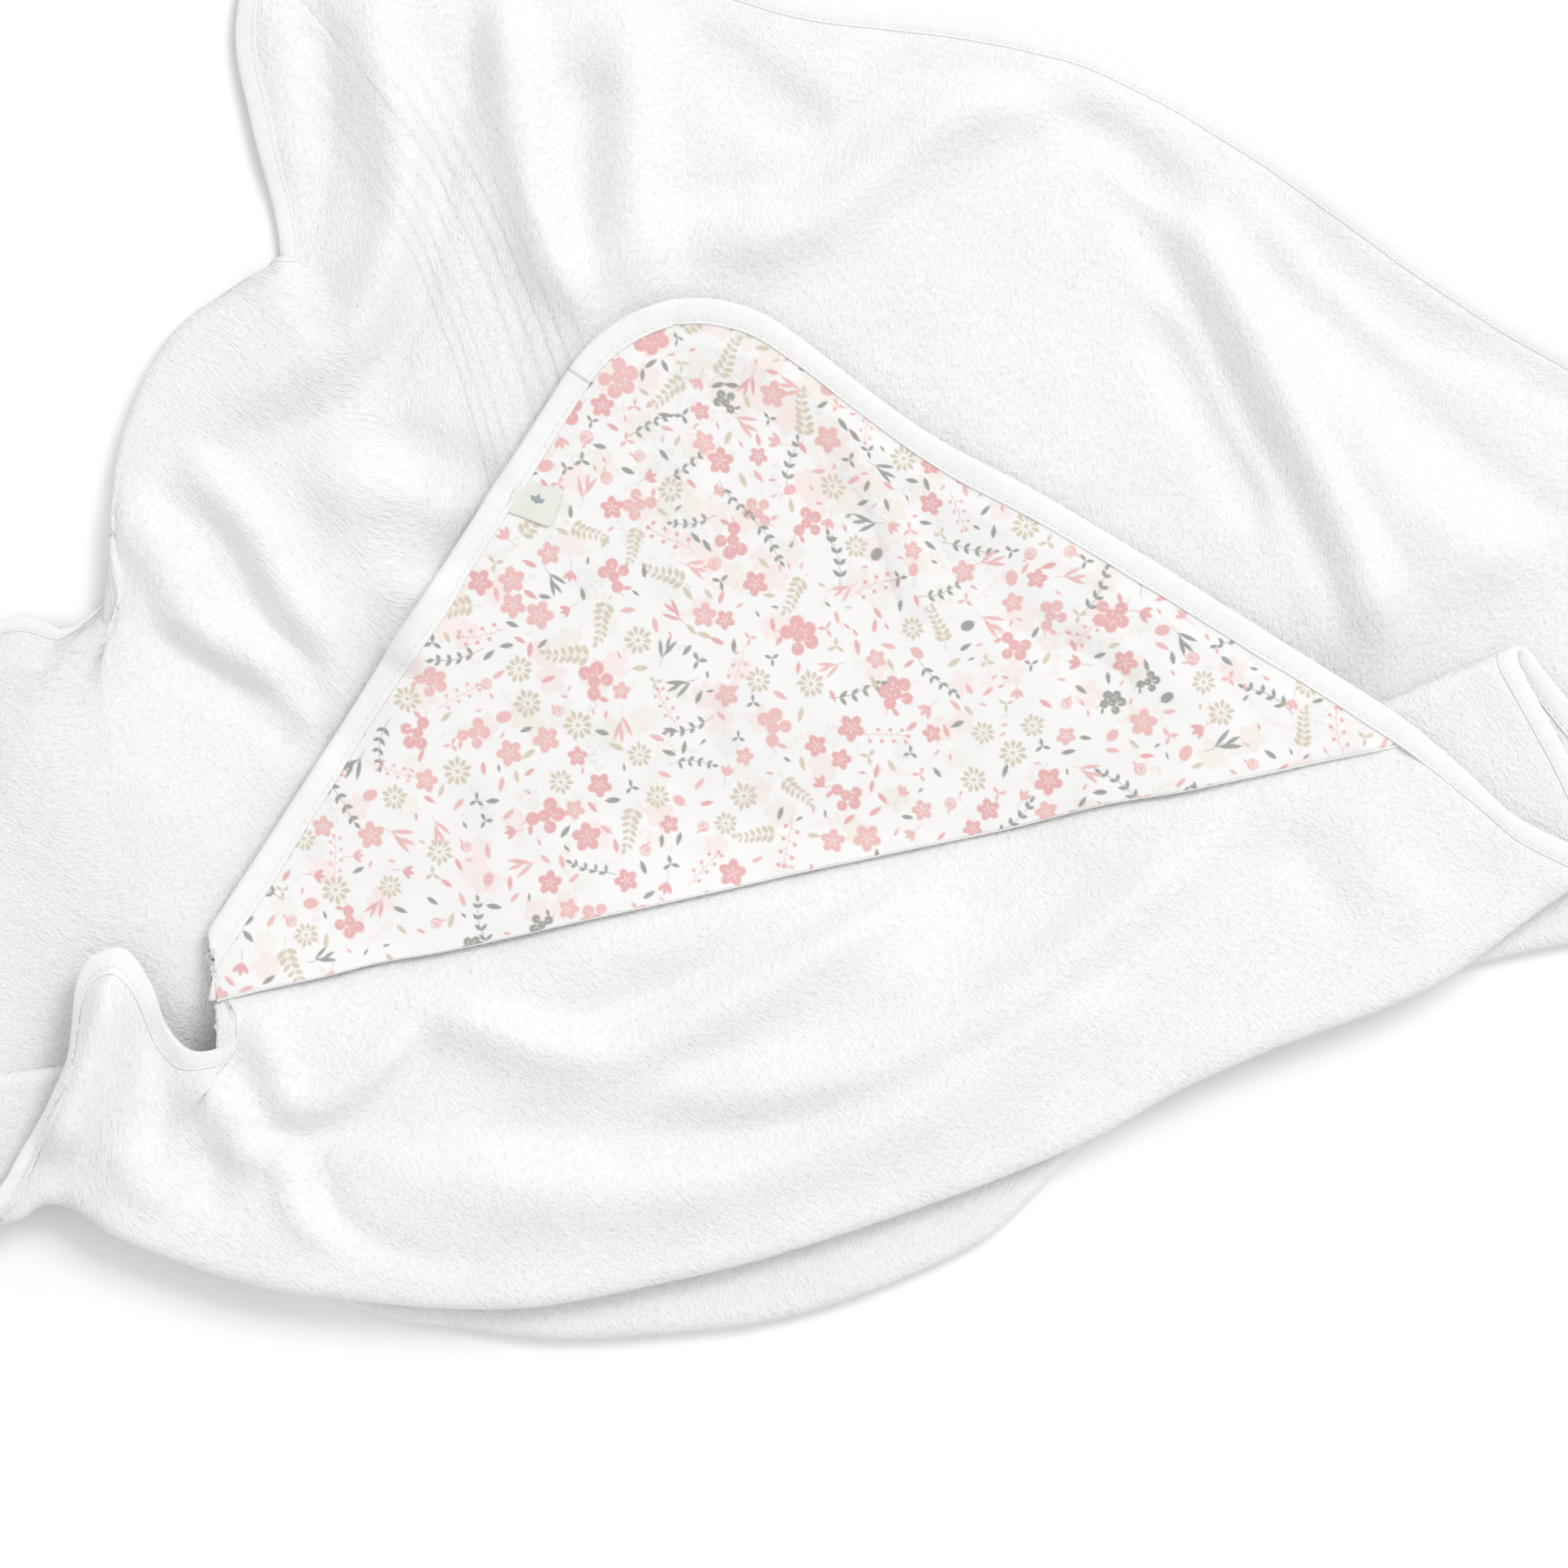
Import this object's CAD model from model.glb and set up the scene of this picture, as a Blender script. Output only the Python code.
"""Hooded baby towel: the looks. A 75 x 75 cm terry square lying in loose folds, with a jersey edge binding, a two-layer
hood with a small floral print, a woven tab and a care label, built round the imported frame. Metres, +Z up."""
import math

import bpy
import numpy as np
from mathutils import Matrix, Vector


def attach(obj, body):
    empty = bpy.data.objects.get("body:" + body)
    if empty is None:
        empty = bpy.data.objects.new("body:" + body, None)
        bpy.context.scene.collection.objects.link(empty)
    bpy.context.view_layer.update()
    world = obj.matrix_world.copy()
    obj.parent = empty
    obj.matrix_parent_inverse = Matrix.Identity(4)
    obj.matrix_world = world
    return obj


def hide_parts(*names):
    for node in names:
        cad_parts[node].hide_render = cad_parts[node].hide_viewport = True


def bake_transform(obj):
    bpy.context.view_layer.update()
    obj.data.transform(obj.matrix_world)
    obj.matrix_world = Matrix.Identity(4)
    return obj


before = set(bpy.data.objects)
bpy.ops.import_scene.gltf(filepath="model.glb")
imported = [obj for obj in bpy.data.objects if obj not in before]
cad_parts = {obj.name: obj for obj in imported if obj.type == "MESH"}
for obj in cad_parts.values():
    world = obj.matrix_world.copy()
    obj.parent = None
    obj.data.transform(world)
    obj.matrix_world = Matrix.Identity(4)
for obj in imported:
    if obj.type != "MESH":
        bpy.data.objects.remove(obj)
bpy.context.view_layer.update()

# ---------------------------------------------------------------- dimensions, as in the CAD model
MM = 0.001
SIDE = 0.750
CORNER_R = 0.055
TERRY_T = 0.0022
LAYER = 0.0064
HOOD_H = 0.2235
TAPE_W = 0.0080
EDGE_LIFT = 0.0010
SHIFT = np.array((0.0363, 0.0195))
HALF = SIDE / math.sqrt(2)
TURN_R = LAYER / 2
TURN_A = math.pi * TURN_R / 2
FLOOR_Z = TERRY_T / 2
AXIS_D = np.array((0.2143, -0.9768))
AXIS_W = np.array((0.9768, 0.2143))
HOOD_CORNER = np.array((-25.6, 113.6)) * MM

# folds of the laid towel: w, then d, x, y of the first, second and third turn (millimetres)
FOLDS = np.array((
    (-530, 330, -428, -189, 400, -444, -161, 450, -478, -175),
    (-420, 345, -342, -210, 405, -347, -172, 455, -361, -203),
    (-340, 352, -260, -226, 420, -267, -175, 470, -283, -210),
    (-300, 363, -244, -223, 430, -236, -172, 475, -256, -212),
    (-270, 362, -233, -217, 430, -208, -169, 475, -228, -207),
    (-236, 318, -208, -229, 400, -177, -169, 475, -197, -222),
    (-200, 325, -152, -247, 408, -147, -167, 488, -161, -239),
    (-135, 345, -83, -253, 423, -96, -176, 506, -111, -258),
    (-65, 349, -14, -242, 453, -44, -143, 575, -56, -264),
    (0, 345, 48, -224, 426, 17, -149, 540, 1, -260),
    (80, 335, 125, -194, 393, 97, -146, 480, 83, -232),
    (110, 326, 152, -179, 398, 118, -117, 482, 116, -202),
    (140, 317, 178, -167, 397, 139, -97, 479, 139, -178),
    (204, 307, 239, -143, 392, 186, -68, 475, 179, -157),
    (255, 283, 285, -111, 372, 218, -49, 469, 218, -147),
    (329, 252, 339, -79, 329, 269, -27, 434, 269, -132),
    (406, 230, 397, -44, 298, 346, 6, 406, 354, -117),
    (530, 190, 489, 11, 245, 461, 50, 330, 489, -86),
)) * MM
# the far edges of the square: w, x, y
FAR_EDGE = np.array((
    (-530, -513.9, -141.7), (-480, -483.3, -108.3), (-420, -433.3, -86.1), (-340, -358.3, -50.0), (-270, -283.3, -27.8),
    (-245, -250.0, -19.2), (-232, -241.1, -17.2), (-218, -222.8, -25.0), (-209, -216.1, -36.7), (-200, -208.3, -31.9),
    (-185, -198.6, -19.4), (-160, -180.6, 9.7), (-130, -161.1, 44.4), (-100, -152.8, 81.9), (-79, -154.2, 111.1),
    (-50, -163.9, 152.8), (-20, -173.1, 194.4), (0, -177.2, 220.8), (50, -113.9, 225.6), (100, -47.2, 216.1), (165, 27.8, 194.4),
    (199, 69.4, 189.7), (233.5, 111.1, 181.9), (257.7, 138.9, 170.8), (283.3, 166.7, 155.6), (310, 194.4, 137.5),
    (338, 222.2, 116.7), (365.4, 250.0, 97.2), (400, 286.7, 75.0), (450, 347.2, 47.2), (500, 408.3, 20.8), (530, 455.6, 2.8),
)) * MM
# where the far left edge is rolled under: w, length of cloth turned under, x, y of the roll
ROLL = np.array((
    (-232, -20, -233.3, -19.4), (-220, 0, -211.7, -9.7), (-209, 22, -208.3, -5.6), (-200, 38, -211.4, 11.1),
    (-185, 52, -210.6, 30.6), (-160, 62, -202.8, 61.1), (-130, 52, -189.4, 83.9), (-100, 28, -167.8, 100.0),
    (-79, 0, -154.2, 111.1), (-50, -30, -163.9, 152.8),
)) * MM
# the near left edge, smoothed, and as it really ruffles beyond the hood: w, x, y
LEFT_EASY = np.array((
    (-530, -514, -142), (-470, -444, -158), (-420, -367, -190), (-355, -267, -222), (-338, -252, -214),
    (-311, -236, -190), (-284, -223, -164), (-269, -213, -153), (-257, -204, -154), (-245, -197, -158),
    (-228, -188, -157), (-212, -181, -141), (-200, -178, -124),
)) * MM
LEFT_EDGE = np.array((
    (-530, -513.9, -141.7), (-470, -444.4, -158.3), (-420, -366.7, -194.4), (-355, -266.7, -222.2), (-338, -250.0, -213.3),
    (-327, -241.7, -200.0), (-311, -230.6, -180.6), (-298, -224.2, -163.9), (-283.5, -222.5, -143.1), (-276, -218.1, -133.3),
    (-268.7, -208.3, -130.0), (-256.6, -197.2, -143.1), (-245, -191.7, -158.3), (-236, -181.9, -165.8), (-228, -170.8, -162.5),
    (-221, -169.4, -152.8), (-212, -175.0, -140.3), (-200, -178.1, -124.4),
)) * MM
RIGHT_BOW = np.array(((0, 0), (40, 3), (80, 7), (115, 3.5), (160, 2), (210, 2), (235, 6), (250, 11), (260, 15), (270, 20), (300, 24), (530, 24))) * MM

# Folds of the cloth as crests (height > 0) and troughs (height < 0): height, half width on the left and on the
# right of the line, and the line's points. Millimetres.
TOP_CRESTS = (
    (8.0, 8, 12, ((-123.6, -140.3), (-105.6, -147.8), (-83.3, -156.1), (-58.3, -164.4), (-38.9, -165.6), (-11.1, -153.3), (16.7, -138.3), (44.4, -121.7), (77.8, -100.0))),
    (-3.5, 9, 7, ((-72.2, -150.6), (-44.4, -151.7), (-13.9, -140.3), (16.7, -125.0), (50.0, -108.9), (83.3, -93.3))),
    (9.0, 13, 16, ((179.2, -76.4), (158.3, -95.8), (133.3, -116.7), (97.2, -145.8), (55.6, -166.7), (8.3, -179.2), (-38.9, -181.1))),
    (-4.0, 10, 9, ((166.7, -80.6), (138.9, -98.6), (100.0, -127.8), (58.3, -152.8), (11.1, -166.7), (-27.8, -170.8))),
    (-4.0, 12, 12, ((55.6, -180.6), (11.1, -191.1), (-38.9, -195.0), (-83.3, -191.1), (-100.0, -183.9))),
    (8.0, 12, 20, ((-134.7, -194.4), (-119.4, -205.6), (-83.3, -209.7), (-33.3, -211.7), (16.7, -202.8), (69.4, -181.1), (116.7, -151.4), (152.8, -119.4))),
    (7.0, 8, 8, ((-166.7, -140.3), (-156.9, -163.9), (-150.8, -181.1), (-138.9, -182.2), (-122.2, -170.8), (-102.8, -150.0))),
    (-4.0, 6, 7, ((-173.3, -183.9), (-157.5, -193.9), (-131.1, -188.9), (-112.8, -173.6), (-94.4, -156.1))),
    (5.0, 6, 6, ((-154.2, -190.3), (-152.2, -205.6), (-146.7, -222.2), (-133.3, -233.3))),
    (-4.0, 6, 6, ((-141.1, -192.2), (-138.3, -208.3), (-131.9, -223.6), (-111.1, -234.7), (-72.2, -240.3))),
    (-2.5, 9, 13, ((187.5, -87.5), (202.8, -108.3), (213.9, -125.0))),
    (2.5, 12, 16, ((208.3, -72.2), (219.4, -94.4), (233.3, -113.9), (247.2, -125.0))),
    (13.0, 8, 8, ((-208.9, -131.1), (-211.1, -145.8), (-217.2, -166.7), (-225.6, -188.9), (-233.3, -205.6))),
    (-4.5, 7, 7, ((-197.2, -150.0), (-194.4, -166.7), (-193.1, -183.3), (-197.2, -200.0))),
    (8.0, 8, 10, ((-181.9, -169.4), (-177.2, -179.2), (-166.7, -191.7), (-161.1, -208.3))),
    (-4.0, 8, 8, ((-179.2, -194.4), (-177.2, -211.1), (-180.6, -222.2))),
    (5.0, 9, 9, ((-208.3, -194.4), (-202.8, -211.1), (-190.3, -222.2))),
    (5.0, 10, 10, ((-241.7, -175.0), (-266.7, -186.1), (-305.6, -200.0))),
)
FAR_CRESTS = (
    (9.0, 14, 13, ((-166.7, 205.6), (-161.7, 177.8), (-156.9, 150.0), (-152.8, 125.0))),
    (-6.0, 8, 9, ((-143.1, 205.6), (-141.1, 172.2), (-140.0, 147.2), (-144.4, 122.2), (-152.8, 102.8))),
    (11.5, 12, 13, ((-123.6, 211.1), (-119.4, 172.2), (-113.3, 141.7), (-115.0, 113.9), (-131.9, 76.4), (-163.6, 58.1), (-183.1, 45.0))),
    (8.0, 10, 11, ((-184.7, 47.2), (-179.2, 30.6), (-163.6, 12.8), (-152.8, -8.9), (-133.3, -31.9))),
    (-6.0, 9, 8, ((-86.1, 205.6), (-89.4, 172.2), (-97.2, 147.2), (-102.2, 119.4), (-108.3, 91.7), (-119.4, 69.4), (-141.7, 55.6), (-166.7, 44.4))),
    (12.0, 10, 11, ((-80.0, 205.6), (-75.0, 172.2), (-70.0, 141.7), (-63.3, 111.1), (-52.2, 91.1), (-43.9, 81.9))),
    (-6.0, 11, 12, ((-47.8, 177.8), (-49.4, 147.2), (-49.4, 116.7), (-43.1, 102.8))),
    (9.5, 11, 20, ((-35.6, 200.0), (-33.3, 163.9), (-32.8, 133.3), (-27.8, 102.8), (-13.9, 91.1))),
    (-5.0, 9, 14, ((-15.3, 186.1), (4.2, 172.2), (22.2, 156.9), (41.7, 144.4))),
    (9.5, 17, 13, ((-19.4, 113.9), (5.6, 114.4), (30.6, 121.7), (50.0, 137.5), (69.4, 152.8), (94.4, 161.1), (116.7, 155.6))),
    (-5.5, 13, 9, ((-27.8, 128.3), (-2.8, 126.1), (23.6, 131.1), (44.4, 147.2), (66.7, 163.3), (91.7, 171.7), (113.9, 168.9))),
    (6.0, 14, 14, ((55.6, 177.8), (88.9, 180.6), (119.4, 170.8), (144.4, 155.6), (166.7, 141.7))),
    (-5.0, 10, 10, ((108.3, 152.8), (130.6, 150.0), (145.8, 134.7), (161.1, 115.3))),
    (-6.0, 11, 8, ((118.1, 138.9), (138.9, 119.2), (156.1, 95.3), (167.5, 72.8), (178.6, 50.3), (191.7, 27.8), (205.6, -2.8), (216.7, -36.1))),
    (10.5, 11, 18, ((143.1, 130.0), (161.1, 111.1), (176.4, 83.3), (194.4, 47.2), (212.5, 8.3), (225.6, -27.8), (228.3, -41.7))),
    (-6.5, 11, 10, ((175.6, 133.6), (194.7, 122.5), (210.8, 104.7), (235.0, 85.6), (258.9, 75.8), (286.4, 63.1), (327.8, 38.9))),
    (-4.5, 10, 10, ((167.5, 135.3), (178.6, 108.1), (194.7, 91.9), (218.9, 71.1), (243.1, 45.3), (262.2, 30.8), (294.4, 11.1))),
    (4.5, 16, 18, ((175.0, 105.6), (194.4, 69.4), (216.7, 38.9), (247.2, 11.1), (294.4, -11.1))),
    (-4.5, 10, 10, ((140.3, 94.4), (150.0, 77.8), (161.1, 56.9), (173.9, 32.5), (186.1, 8.3))),
    (6.0, 12, 12, ((183.3, 144.4), (213.9, 121.7), (244.4, 97.2), (277.8, 75.0), (322.2, 50.0))),
    (-5.0, 9, 9, ((-124.4, 44.4), (-105.6, 41.1), (-87.5, 31.9), (-75.0, 27.8))),
    (6.5, 11, 14, ((-147.2, 27.8), (-125.0, 27.8), (-102.8, 24.4), (-86.1, 16.7))),
    (-5.5, 9, 9, ((-185.6, 30.6), (-172.2, 5.6), (-156.9, -19.4), (-142.2, -41.7), (-136.1, -52.8))),
    (8.0, 11, 11, ((-211.1, 27.8), (-195.8, 4.2), (-180.8, -21.9), (-154.7, -33.3), (-143.1, -47.2))),
    (-5.0, 9, 8, ((-127.8, -9.7), (-120.0, -19.4), (-124.4, -38.9), (-133.9, -56.9), (-147.2, -65.3))),
    (6.0, 11, 11, ((-105.6, -0.0), (-104.2, -16.7), (-111.1, -36.1))),
    (8.5, 48, 40, ((-266.7, -44.4), (-238.9, -50.0), (-213.9, -69.4), (-197.2, -94.4), (-187.5, -122.2), (-180.6, -152.8), (-179.2, -175.0))),
    (-6.0, 8, 8, ((-204.2, -18.9), (-190.3, -27.8), (-169.4, -41.7), (-152.8, -56.9), (-141.1, -68.1))),
    (6.0, 20, 20, ((-388.9, -63.9), (-355.6, -83.3), (-319.4, -91.7), (-277.8, -88.9))),
    (-4.0, 12, 12, ((-366.7, -111.1), (-327.8, -119.4), (-283.3, -119.4))),
    (7.0, 22, 22, ((333.3, -27.8), (366.7, -16.7), (405.6, -16.7))),
)


def smooth(x):
    x = np.clip(x, 0.0, 1.0)
    return x * x * (3 - 2 * x)


def unit(v):
    return v / np.maximum(np.linalg.norm(v, axis=-1, keepdims=True), 1e-9)


def steady(xs, ys, x):
    """A smooth curve through the points that does not overshoot between them."""
    h = np.diff(xs)
    m = np.diff(ys) / h
    g = np.empty(len(xs))
    g[0], g[-1] = m[0], m[-1]
    same = m[1:] * m[:-1] > 0
    w1, w2 = 2 * h[1:] + h[:-1], h[1:] + 2 * h[:-1]
    with np.errstate(divide="ignore", invalid="ignore"):
        mean = (w1 + w2) / (w1 / m[:-1] + w2 / m[1:])
    g[1:-1] = np.where(same, mean, 0.0)
    x = np.clip(x, xs[0], xs[-1])
    k = np.clip(np.searchsorted(xs, x) - 1, 0, len(xs) - 2)
    u = (x - xs[k]) / h[k]
    return (ys[k] * (1 + 2 * u) * (1 - u) ** 2 + g[k] * h[k] * u * (1 - u) ** 2
            + ys[k + 1] * u * u * (3 - 2 * u) + g[k + 1] * h[k] * u * u * (u - 1))


def guide(table, w, columns):
    return np.stack([steady(table[:, 0], table[:, c], w) for c in columns], axis=-1)


def near_edge(w):
    a = np.abs(w)
    out = np.where(a < CORNER_R / math.sqrt(2), CORNER_R * math.sqrt(2) - np.sqrt(np.maximum(CORNER_R**2 - w * w, 0)), a)
    centre = HALF - CORNER_R * math.sqrt(2)
    side = HALF - np.sqrt(np.maximum(CORNER_R**2 - (a - centre) ** 2, 0))
    return np.where(a > centre + CORNER_R / math.sqrt(2), side, out)


def edge_distance(d, w):
    a, b = (d - w) / math.sqrt(2), (d + w) / math.sqrt(2)
    return np.minimum(np.minimum(a, b), np.minimum(SIDE - a, SIDE - b))


def flat(d, w):
    return HOOD_CORNER + d[..., None] * AXIS_D + w[..., None] * AXIS_W


def noise2(x, y, size, seed):
    """Smooth value noise, -1 to 1, with cells of this size."""
    rng = np.random.default_rng(seed)
    lattice = rng.uniform(-1, 1, (257, 257))
    gx, gy = x / size + 64.37, y / size + 91.73
    ix, iy = np.floor(gx).astype(int), np.floor(gy).astype(int)
    fx, fy = gx - ix, gy - iy
    fx, fy = fx**3 * (fx * (6 * fx - 15) + 10), fy**3 * (fy * (6 * fy - 15) + 10)
    ix, iy = ix % 256, iy % 256
    return ((lattice[ix, iy] * (1 - fx) + lattice[ix + 1, iy] * fx) * (1 - fy)
            + (lattice[ix, iy + 1] * (1 - fx) + lattice[ix + 1, iy + 1] * fx) * fy)


def curved(points, count=6):
    """The line's points joined by a smooth curve."""
    p = np.array(points) * MM
    p = np.concatenate((p[:1] * 2 - p[1:2], p, p[-1:] * 2 - p[-2:-1]))
    out = []
    for i in range(1, len(p) - 2):
        for t in np.arange(count) / count:
            out.append(0.5 * (2 * p[i] + (p[i + 1] - p[i - 1]) * t + (2 * p[i - 1] - 5 * p[i] + 4 * p[i + 1] - p[i + 2]) * t**2
                              + (3 * p[i] - p[i - 1] - 3 * p[i + 1] + p[i + 2]) * t**3))
    out.append(p[-2])
    return np.array(out)


def folds(x, y, table):
    """Height of all crests and troughs at x, y. Crests take the higher of two, and troughs the lower."""
    up, down = np.zeros_like(x), np.zeros_like(x)
    for height, left, right, points in table:
        line = curved(points)
        lo, hi = line.min(0) - 0.07, line.max(0) + 0.07
        near = (x > lo[0]) & (x < hi[0]) & (y > lo[1]) & (y < hi[1])
        if not near.any():
            continue
        px, py = x[near], y[near]
        best, along, side = np.full(px.shape, 1e9), np.zeros(px.shape), np.zeros(px.shape)
        lengths = np.linalg.norm(np.diff(line, axis=0), axis=1)
        starts = np.concatenate(([0.0], np.cumsum(lengths)))
        for i in range(len(line) - 1):
            v = line[i + 1] - line[i]
            qx, qy = px - line[i][0], py - line[i][1]
            f = np.clip((qx * v[0] + qy * v[1]) / (v @ v), 0, 1)
            dist = np.hypot(qx - f * v[0], qy - f * v[1])
            nearer = dist < best
            best = np.where(nearer, dist, best)
            along = np.where(nearer, starts[i] + f * lengths[i], along)
            side = np.where(nearer, np.sign(v[0] * qy - v[1] * qx), side)
        f = along / starts[-1]
        taper = smooth(f / 0.25 + 0.08) * smooth((1 - f) / 0.25 + 0.08)
        width = np.where(side > 0, left, right) * MM * (0.60 + 0.22 * taper)
        value = abs(height) * MM * taper * np.exp(-((best / width) ** 2) * 0.9)
        if height > 0:
            up[near] = np.maximum(up[near], value) + 0.25 * np.minimum(up[near], value)
        else:
            down[near] = np.maximum(down[near], value)
    return up, down


def arrival(w):
    e = 0.004
    along = unit(guide(FAR_EDGE, w + e, (1, 2)) - guide(FAR_EDGE, w - e, (1, 2)))
    outward = np.stack((-along[..., 1], along[..., 0]), -1)
    return unit(outward - (2 * smooth((w + 0.06) / 0.12) - 1)[..., None] * along)


def crease_line(w):
    inside = (w > ROLL[0, 0]) & (w < ROLL[-1, 0]) & (steady(ROLL[:, 0], ROLL[:, 1], w) > 1e-6)
    return np.where(inside[..., None], guide(ROLL, w, (2, 3)), guide(FAR_EDGE, w, (1, 2)))


def under_hood(x, y):
    """How far inside the hood's two legs a point of the table plane is (negative outside)."""
    q = np.stack((x, y), -1) - HOOD_CORNER
    d, w = q @ AXIS_D, q @ AXIS_W
    return (d - np.abs(w)) / math.sqrt(2)


def far_height(x, y):
    """Height of the folds of the far part of the towel, fading out under the hood."""
    up, down = folds(x, y, FAR_CRESTS)
    puff = 3.6 * MM + 1.1 * MM * noise2(x, y, 0.055, 3) + 0.5 * MM * noise2(x, y, 0.024, 4)
    h = puff + up - down
    h = 0.5 * (h + np.sqrt(h * h + (1.2 * MM) ** 2))
    return h


def cloth(d, w):
    """The towel's middle surface: the point at d, w."""
    t = guide(FOLDS, w, range(1, 10))
    d1, d2, d3 = t[..., 0], t[..., 3], t[..., 6]
    q1, q2, q3 = t[..., 1:3], t[..., 4:6], t[..., 7:9]
    roll = np.where((w > ROLL[0, 0]) & (w < ROLL[-1, 0]), np.maximum(steady(ROLL[:, 0], ROLL[:, 1], w), 0), 0.0)
    rolled = (roll > 1e-6)
    far = guide(FAR_EDGE, w, (1, 2))
    crease = np.where(rolled[..., None], guide(ROLL, w, (2, 3)), far)
    d_far = 2 * HALF - np.abs(w)
    d_roll = d_far - roll
    o1 = unit(unit(q1 - flat(d1 - 0.1, w)) - unit(q2 - q1))
    o2 = unit(unit(q2 - q1) - unit(q3 - q2))
    o3 = unit(unit(q3 - q2) - unit(crease - q3))
    a1, a2, a3 = q1 - TURN_R * o1, q2 - TURN_R * o2, q3 - TURN_R * o3

    # the top layer, from the near edges to the first turn
    start = near_edge(w)
    leg_in = unit((AXIS_D - AXIS_W)[None, :])[0]
    easy = np.where((w < -0.2)[..., None], guide(LEFT_EASY, w, (1, 2)) - flat(np.abs(w), w), 0.0)
    c0 = easy + np.where(w > 0, steady(RIGHT_BOW[:, 0], RIGHT_BOW[:, 1], w), 0.0)[..., None] * leg_in
    c1 = a1 - flat(d1 - TURN_A, w)
    c0 = c1 + (c0 - c1) * smooth((d1 - TURN_A - start) / 0.04)[..., None]

    def spread(dd):
        f = np.clip((dd - start) / np.maximum(d1 - TURN_A - start, 1e-3), 0, 1)[..., None]
        return flat(dd, w) + (1 - f) * c0 + f * c1

    top = spread(d)
    # the ruffle beyond the hood's left end: columns leave the edge at 45 degrees to it, as in the flat square
    ease = 0.052 * smooth((-0.198 - w) / 0.02) * smooth((w + 0.40) / 0.05)
    here = (ease > 1e-4) & (d < start + ease)
    if here.any():
        wh, eh = w[here], ease[here]
        k = 0.004
        along = unit(guide(LEFT_EDGE, wh + k, (1, 2)) - guide(LEFT_EDGE, wh - k, (1, 2)))
        inward = np.stack((along[..., 1], -along[..., 0]), -1)
        leave = unit(inward - 0.6 * along)
        p0 = guide(LEFT_EDGE, wh, (1, 2))
        full = np.zeros(w.shape)
        full[here] = eh
        p1 = spread(start + full)[here]
        v1 = (spread(start + full + 0.001) - spread(start + full))[here] / 0.001 * eh[:, None]
        u = ((d[here] - start[here]) / eh)[:, None]
        v0 = leave * eh[:, None] * 0.55
        top[here] = ((2 * u**3 - 3 * u**2 + 1) * p0 + (u**3 - 2 * u**2 + u) * v0 + (3 * u**2 - 2 * u**3) * p1 + (u**3 - u**2) * v1)

    def run(a, b, da, db):
        f = ((d - da) / np.maximum(db - da, 1e-3))[..., None]
        return a + f * (b - a)

    lay1 = run(a1, a2, d1 + TURN_A, d2 - TURN_A)
    lay2 = run(a2, a3, d2 + TURN_A, d3 - TURN_A)
    # the bottom layer, from the third turn to the far edges or to the roll
    kr = smooth(roll / 0.018)
    roll_r = np.maximum(0.0026 * kr, 1e-5)
    ahead = unit(sum(arrival(w + k * 0.01) for k in range(-4, 5)))
    span = np.maximum(np.linalg.norm(crease - a3, axis=-1, keepdims=True), 1e-3)
    end_d = d_roll - math.pi * roll_r / 2 * kr
    u = np.clip((d - d3 - TURN_A) / np.maximum(end_d - d3 - TURN_A, 1e-3), 0, 1)[..., None]
    leave = unit(0.6 * unit(crease - a3) - 0.4 * AXIS_D)
    face = unit(crease - a3) * 0.5 + unit(ahead) * 0.5
    end_dir = ahead + (unit(face) - ahead) * kr[..., None]
    out_dir = unit(end_dir)
    roll_x = (roll_r * kr)[..., None]
    end = crease - roll_x * out_dir
    # the far corner and the end of the roll bunch their columns together only close to the edge
    eased = sum(crease_line(np.clip(w + k, -0.53, 0.53)) for k in np.linspace(-0.05, 0.05, 11)) / 11
    near_bunch = np.maximum(1 - smooth((np.abs(w) - 0.015) / 0.055), 1 - smooth((np.abs(w + 0.222) - 0.025) / 0.05))
    blunt = end + (eased - crease) * near_bunch[..., None]
    lay3 = (2 * u**3 - 3 * u**2 + 1) * a3 + (u**3 - 2 * u**2 + u) * span * leave
    lay3 = lay3 + (3 * u**2 - 2 * u**3) * blunt + (u**3 - u**2) * span * 0.8 * end_dir
    lay3 = lay3 + (end - blunt) * smooth((u - 0.70) / 0.30)

    rise = smooth((d - (2 * d1 - d2) + 0.064) / 0.058)
    inside = under_hood(top[..., 0], top[..., 1])
    fade = 1 - smooth((inside + 0.004) / 0.050)
    drape = far_height(top[..., 0], top[..., 1]) * fade * (1 - rise)
    z_top = FLOOR_Z + LAYER * (1 + 2 * rise) + drape
    up, down = folds(top[..., 0], top[..., 1], TOP_CRESTS)
    mask = smooth((d - HOOD_H + 0.004) / 0.03) * smooth((d1 - 0.004 - d) / 0.03)
    swell = 1.4 * MM * noise2(top[..., 0], top[..., 1], 0.05, 7) + 0.6 * MM * noise2(top[..., 0], top[..., 1], 0.022, 8)
    z_top = z_top + (up - np.minimum(down, 0.0042)) * mask + swell * smooth((d - HOOD_H) / 0.03) * smooth((d1 - d) / 0.03)

    brim = smooth((d - HOOD_H + 0.0015) / 0.005) * (1 - smooth((d - HOOD_H - 0.004) / 0.026)) * smooth((HOOD_H - 0.012 - np.abs(w)) / 0.03)
    z_top = z_top + 1.9 * MM * brim

    x3, y3 = lay3[..., 0], lay3[..., 1]
    cover = under_hood(x3, y3)
    beside = smooth((-0.158 - x3) / 0.014)
    keep = 1 - smooth((cover + 0.004) / 0.050) * (1 - 0.9 * beside)
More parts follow.
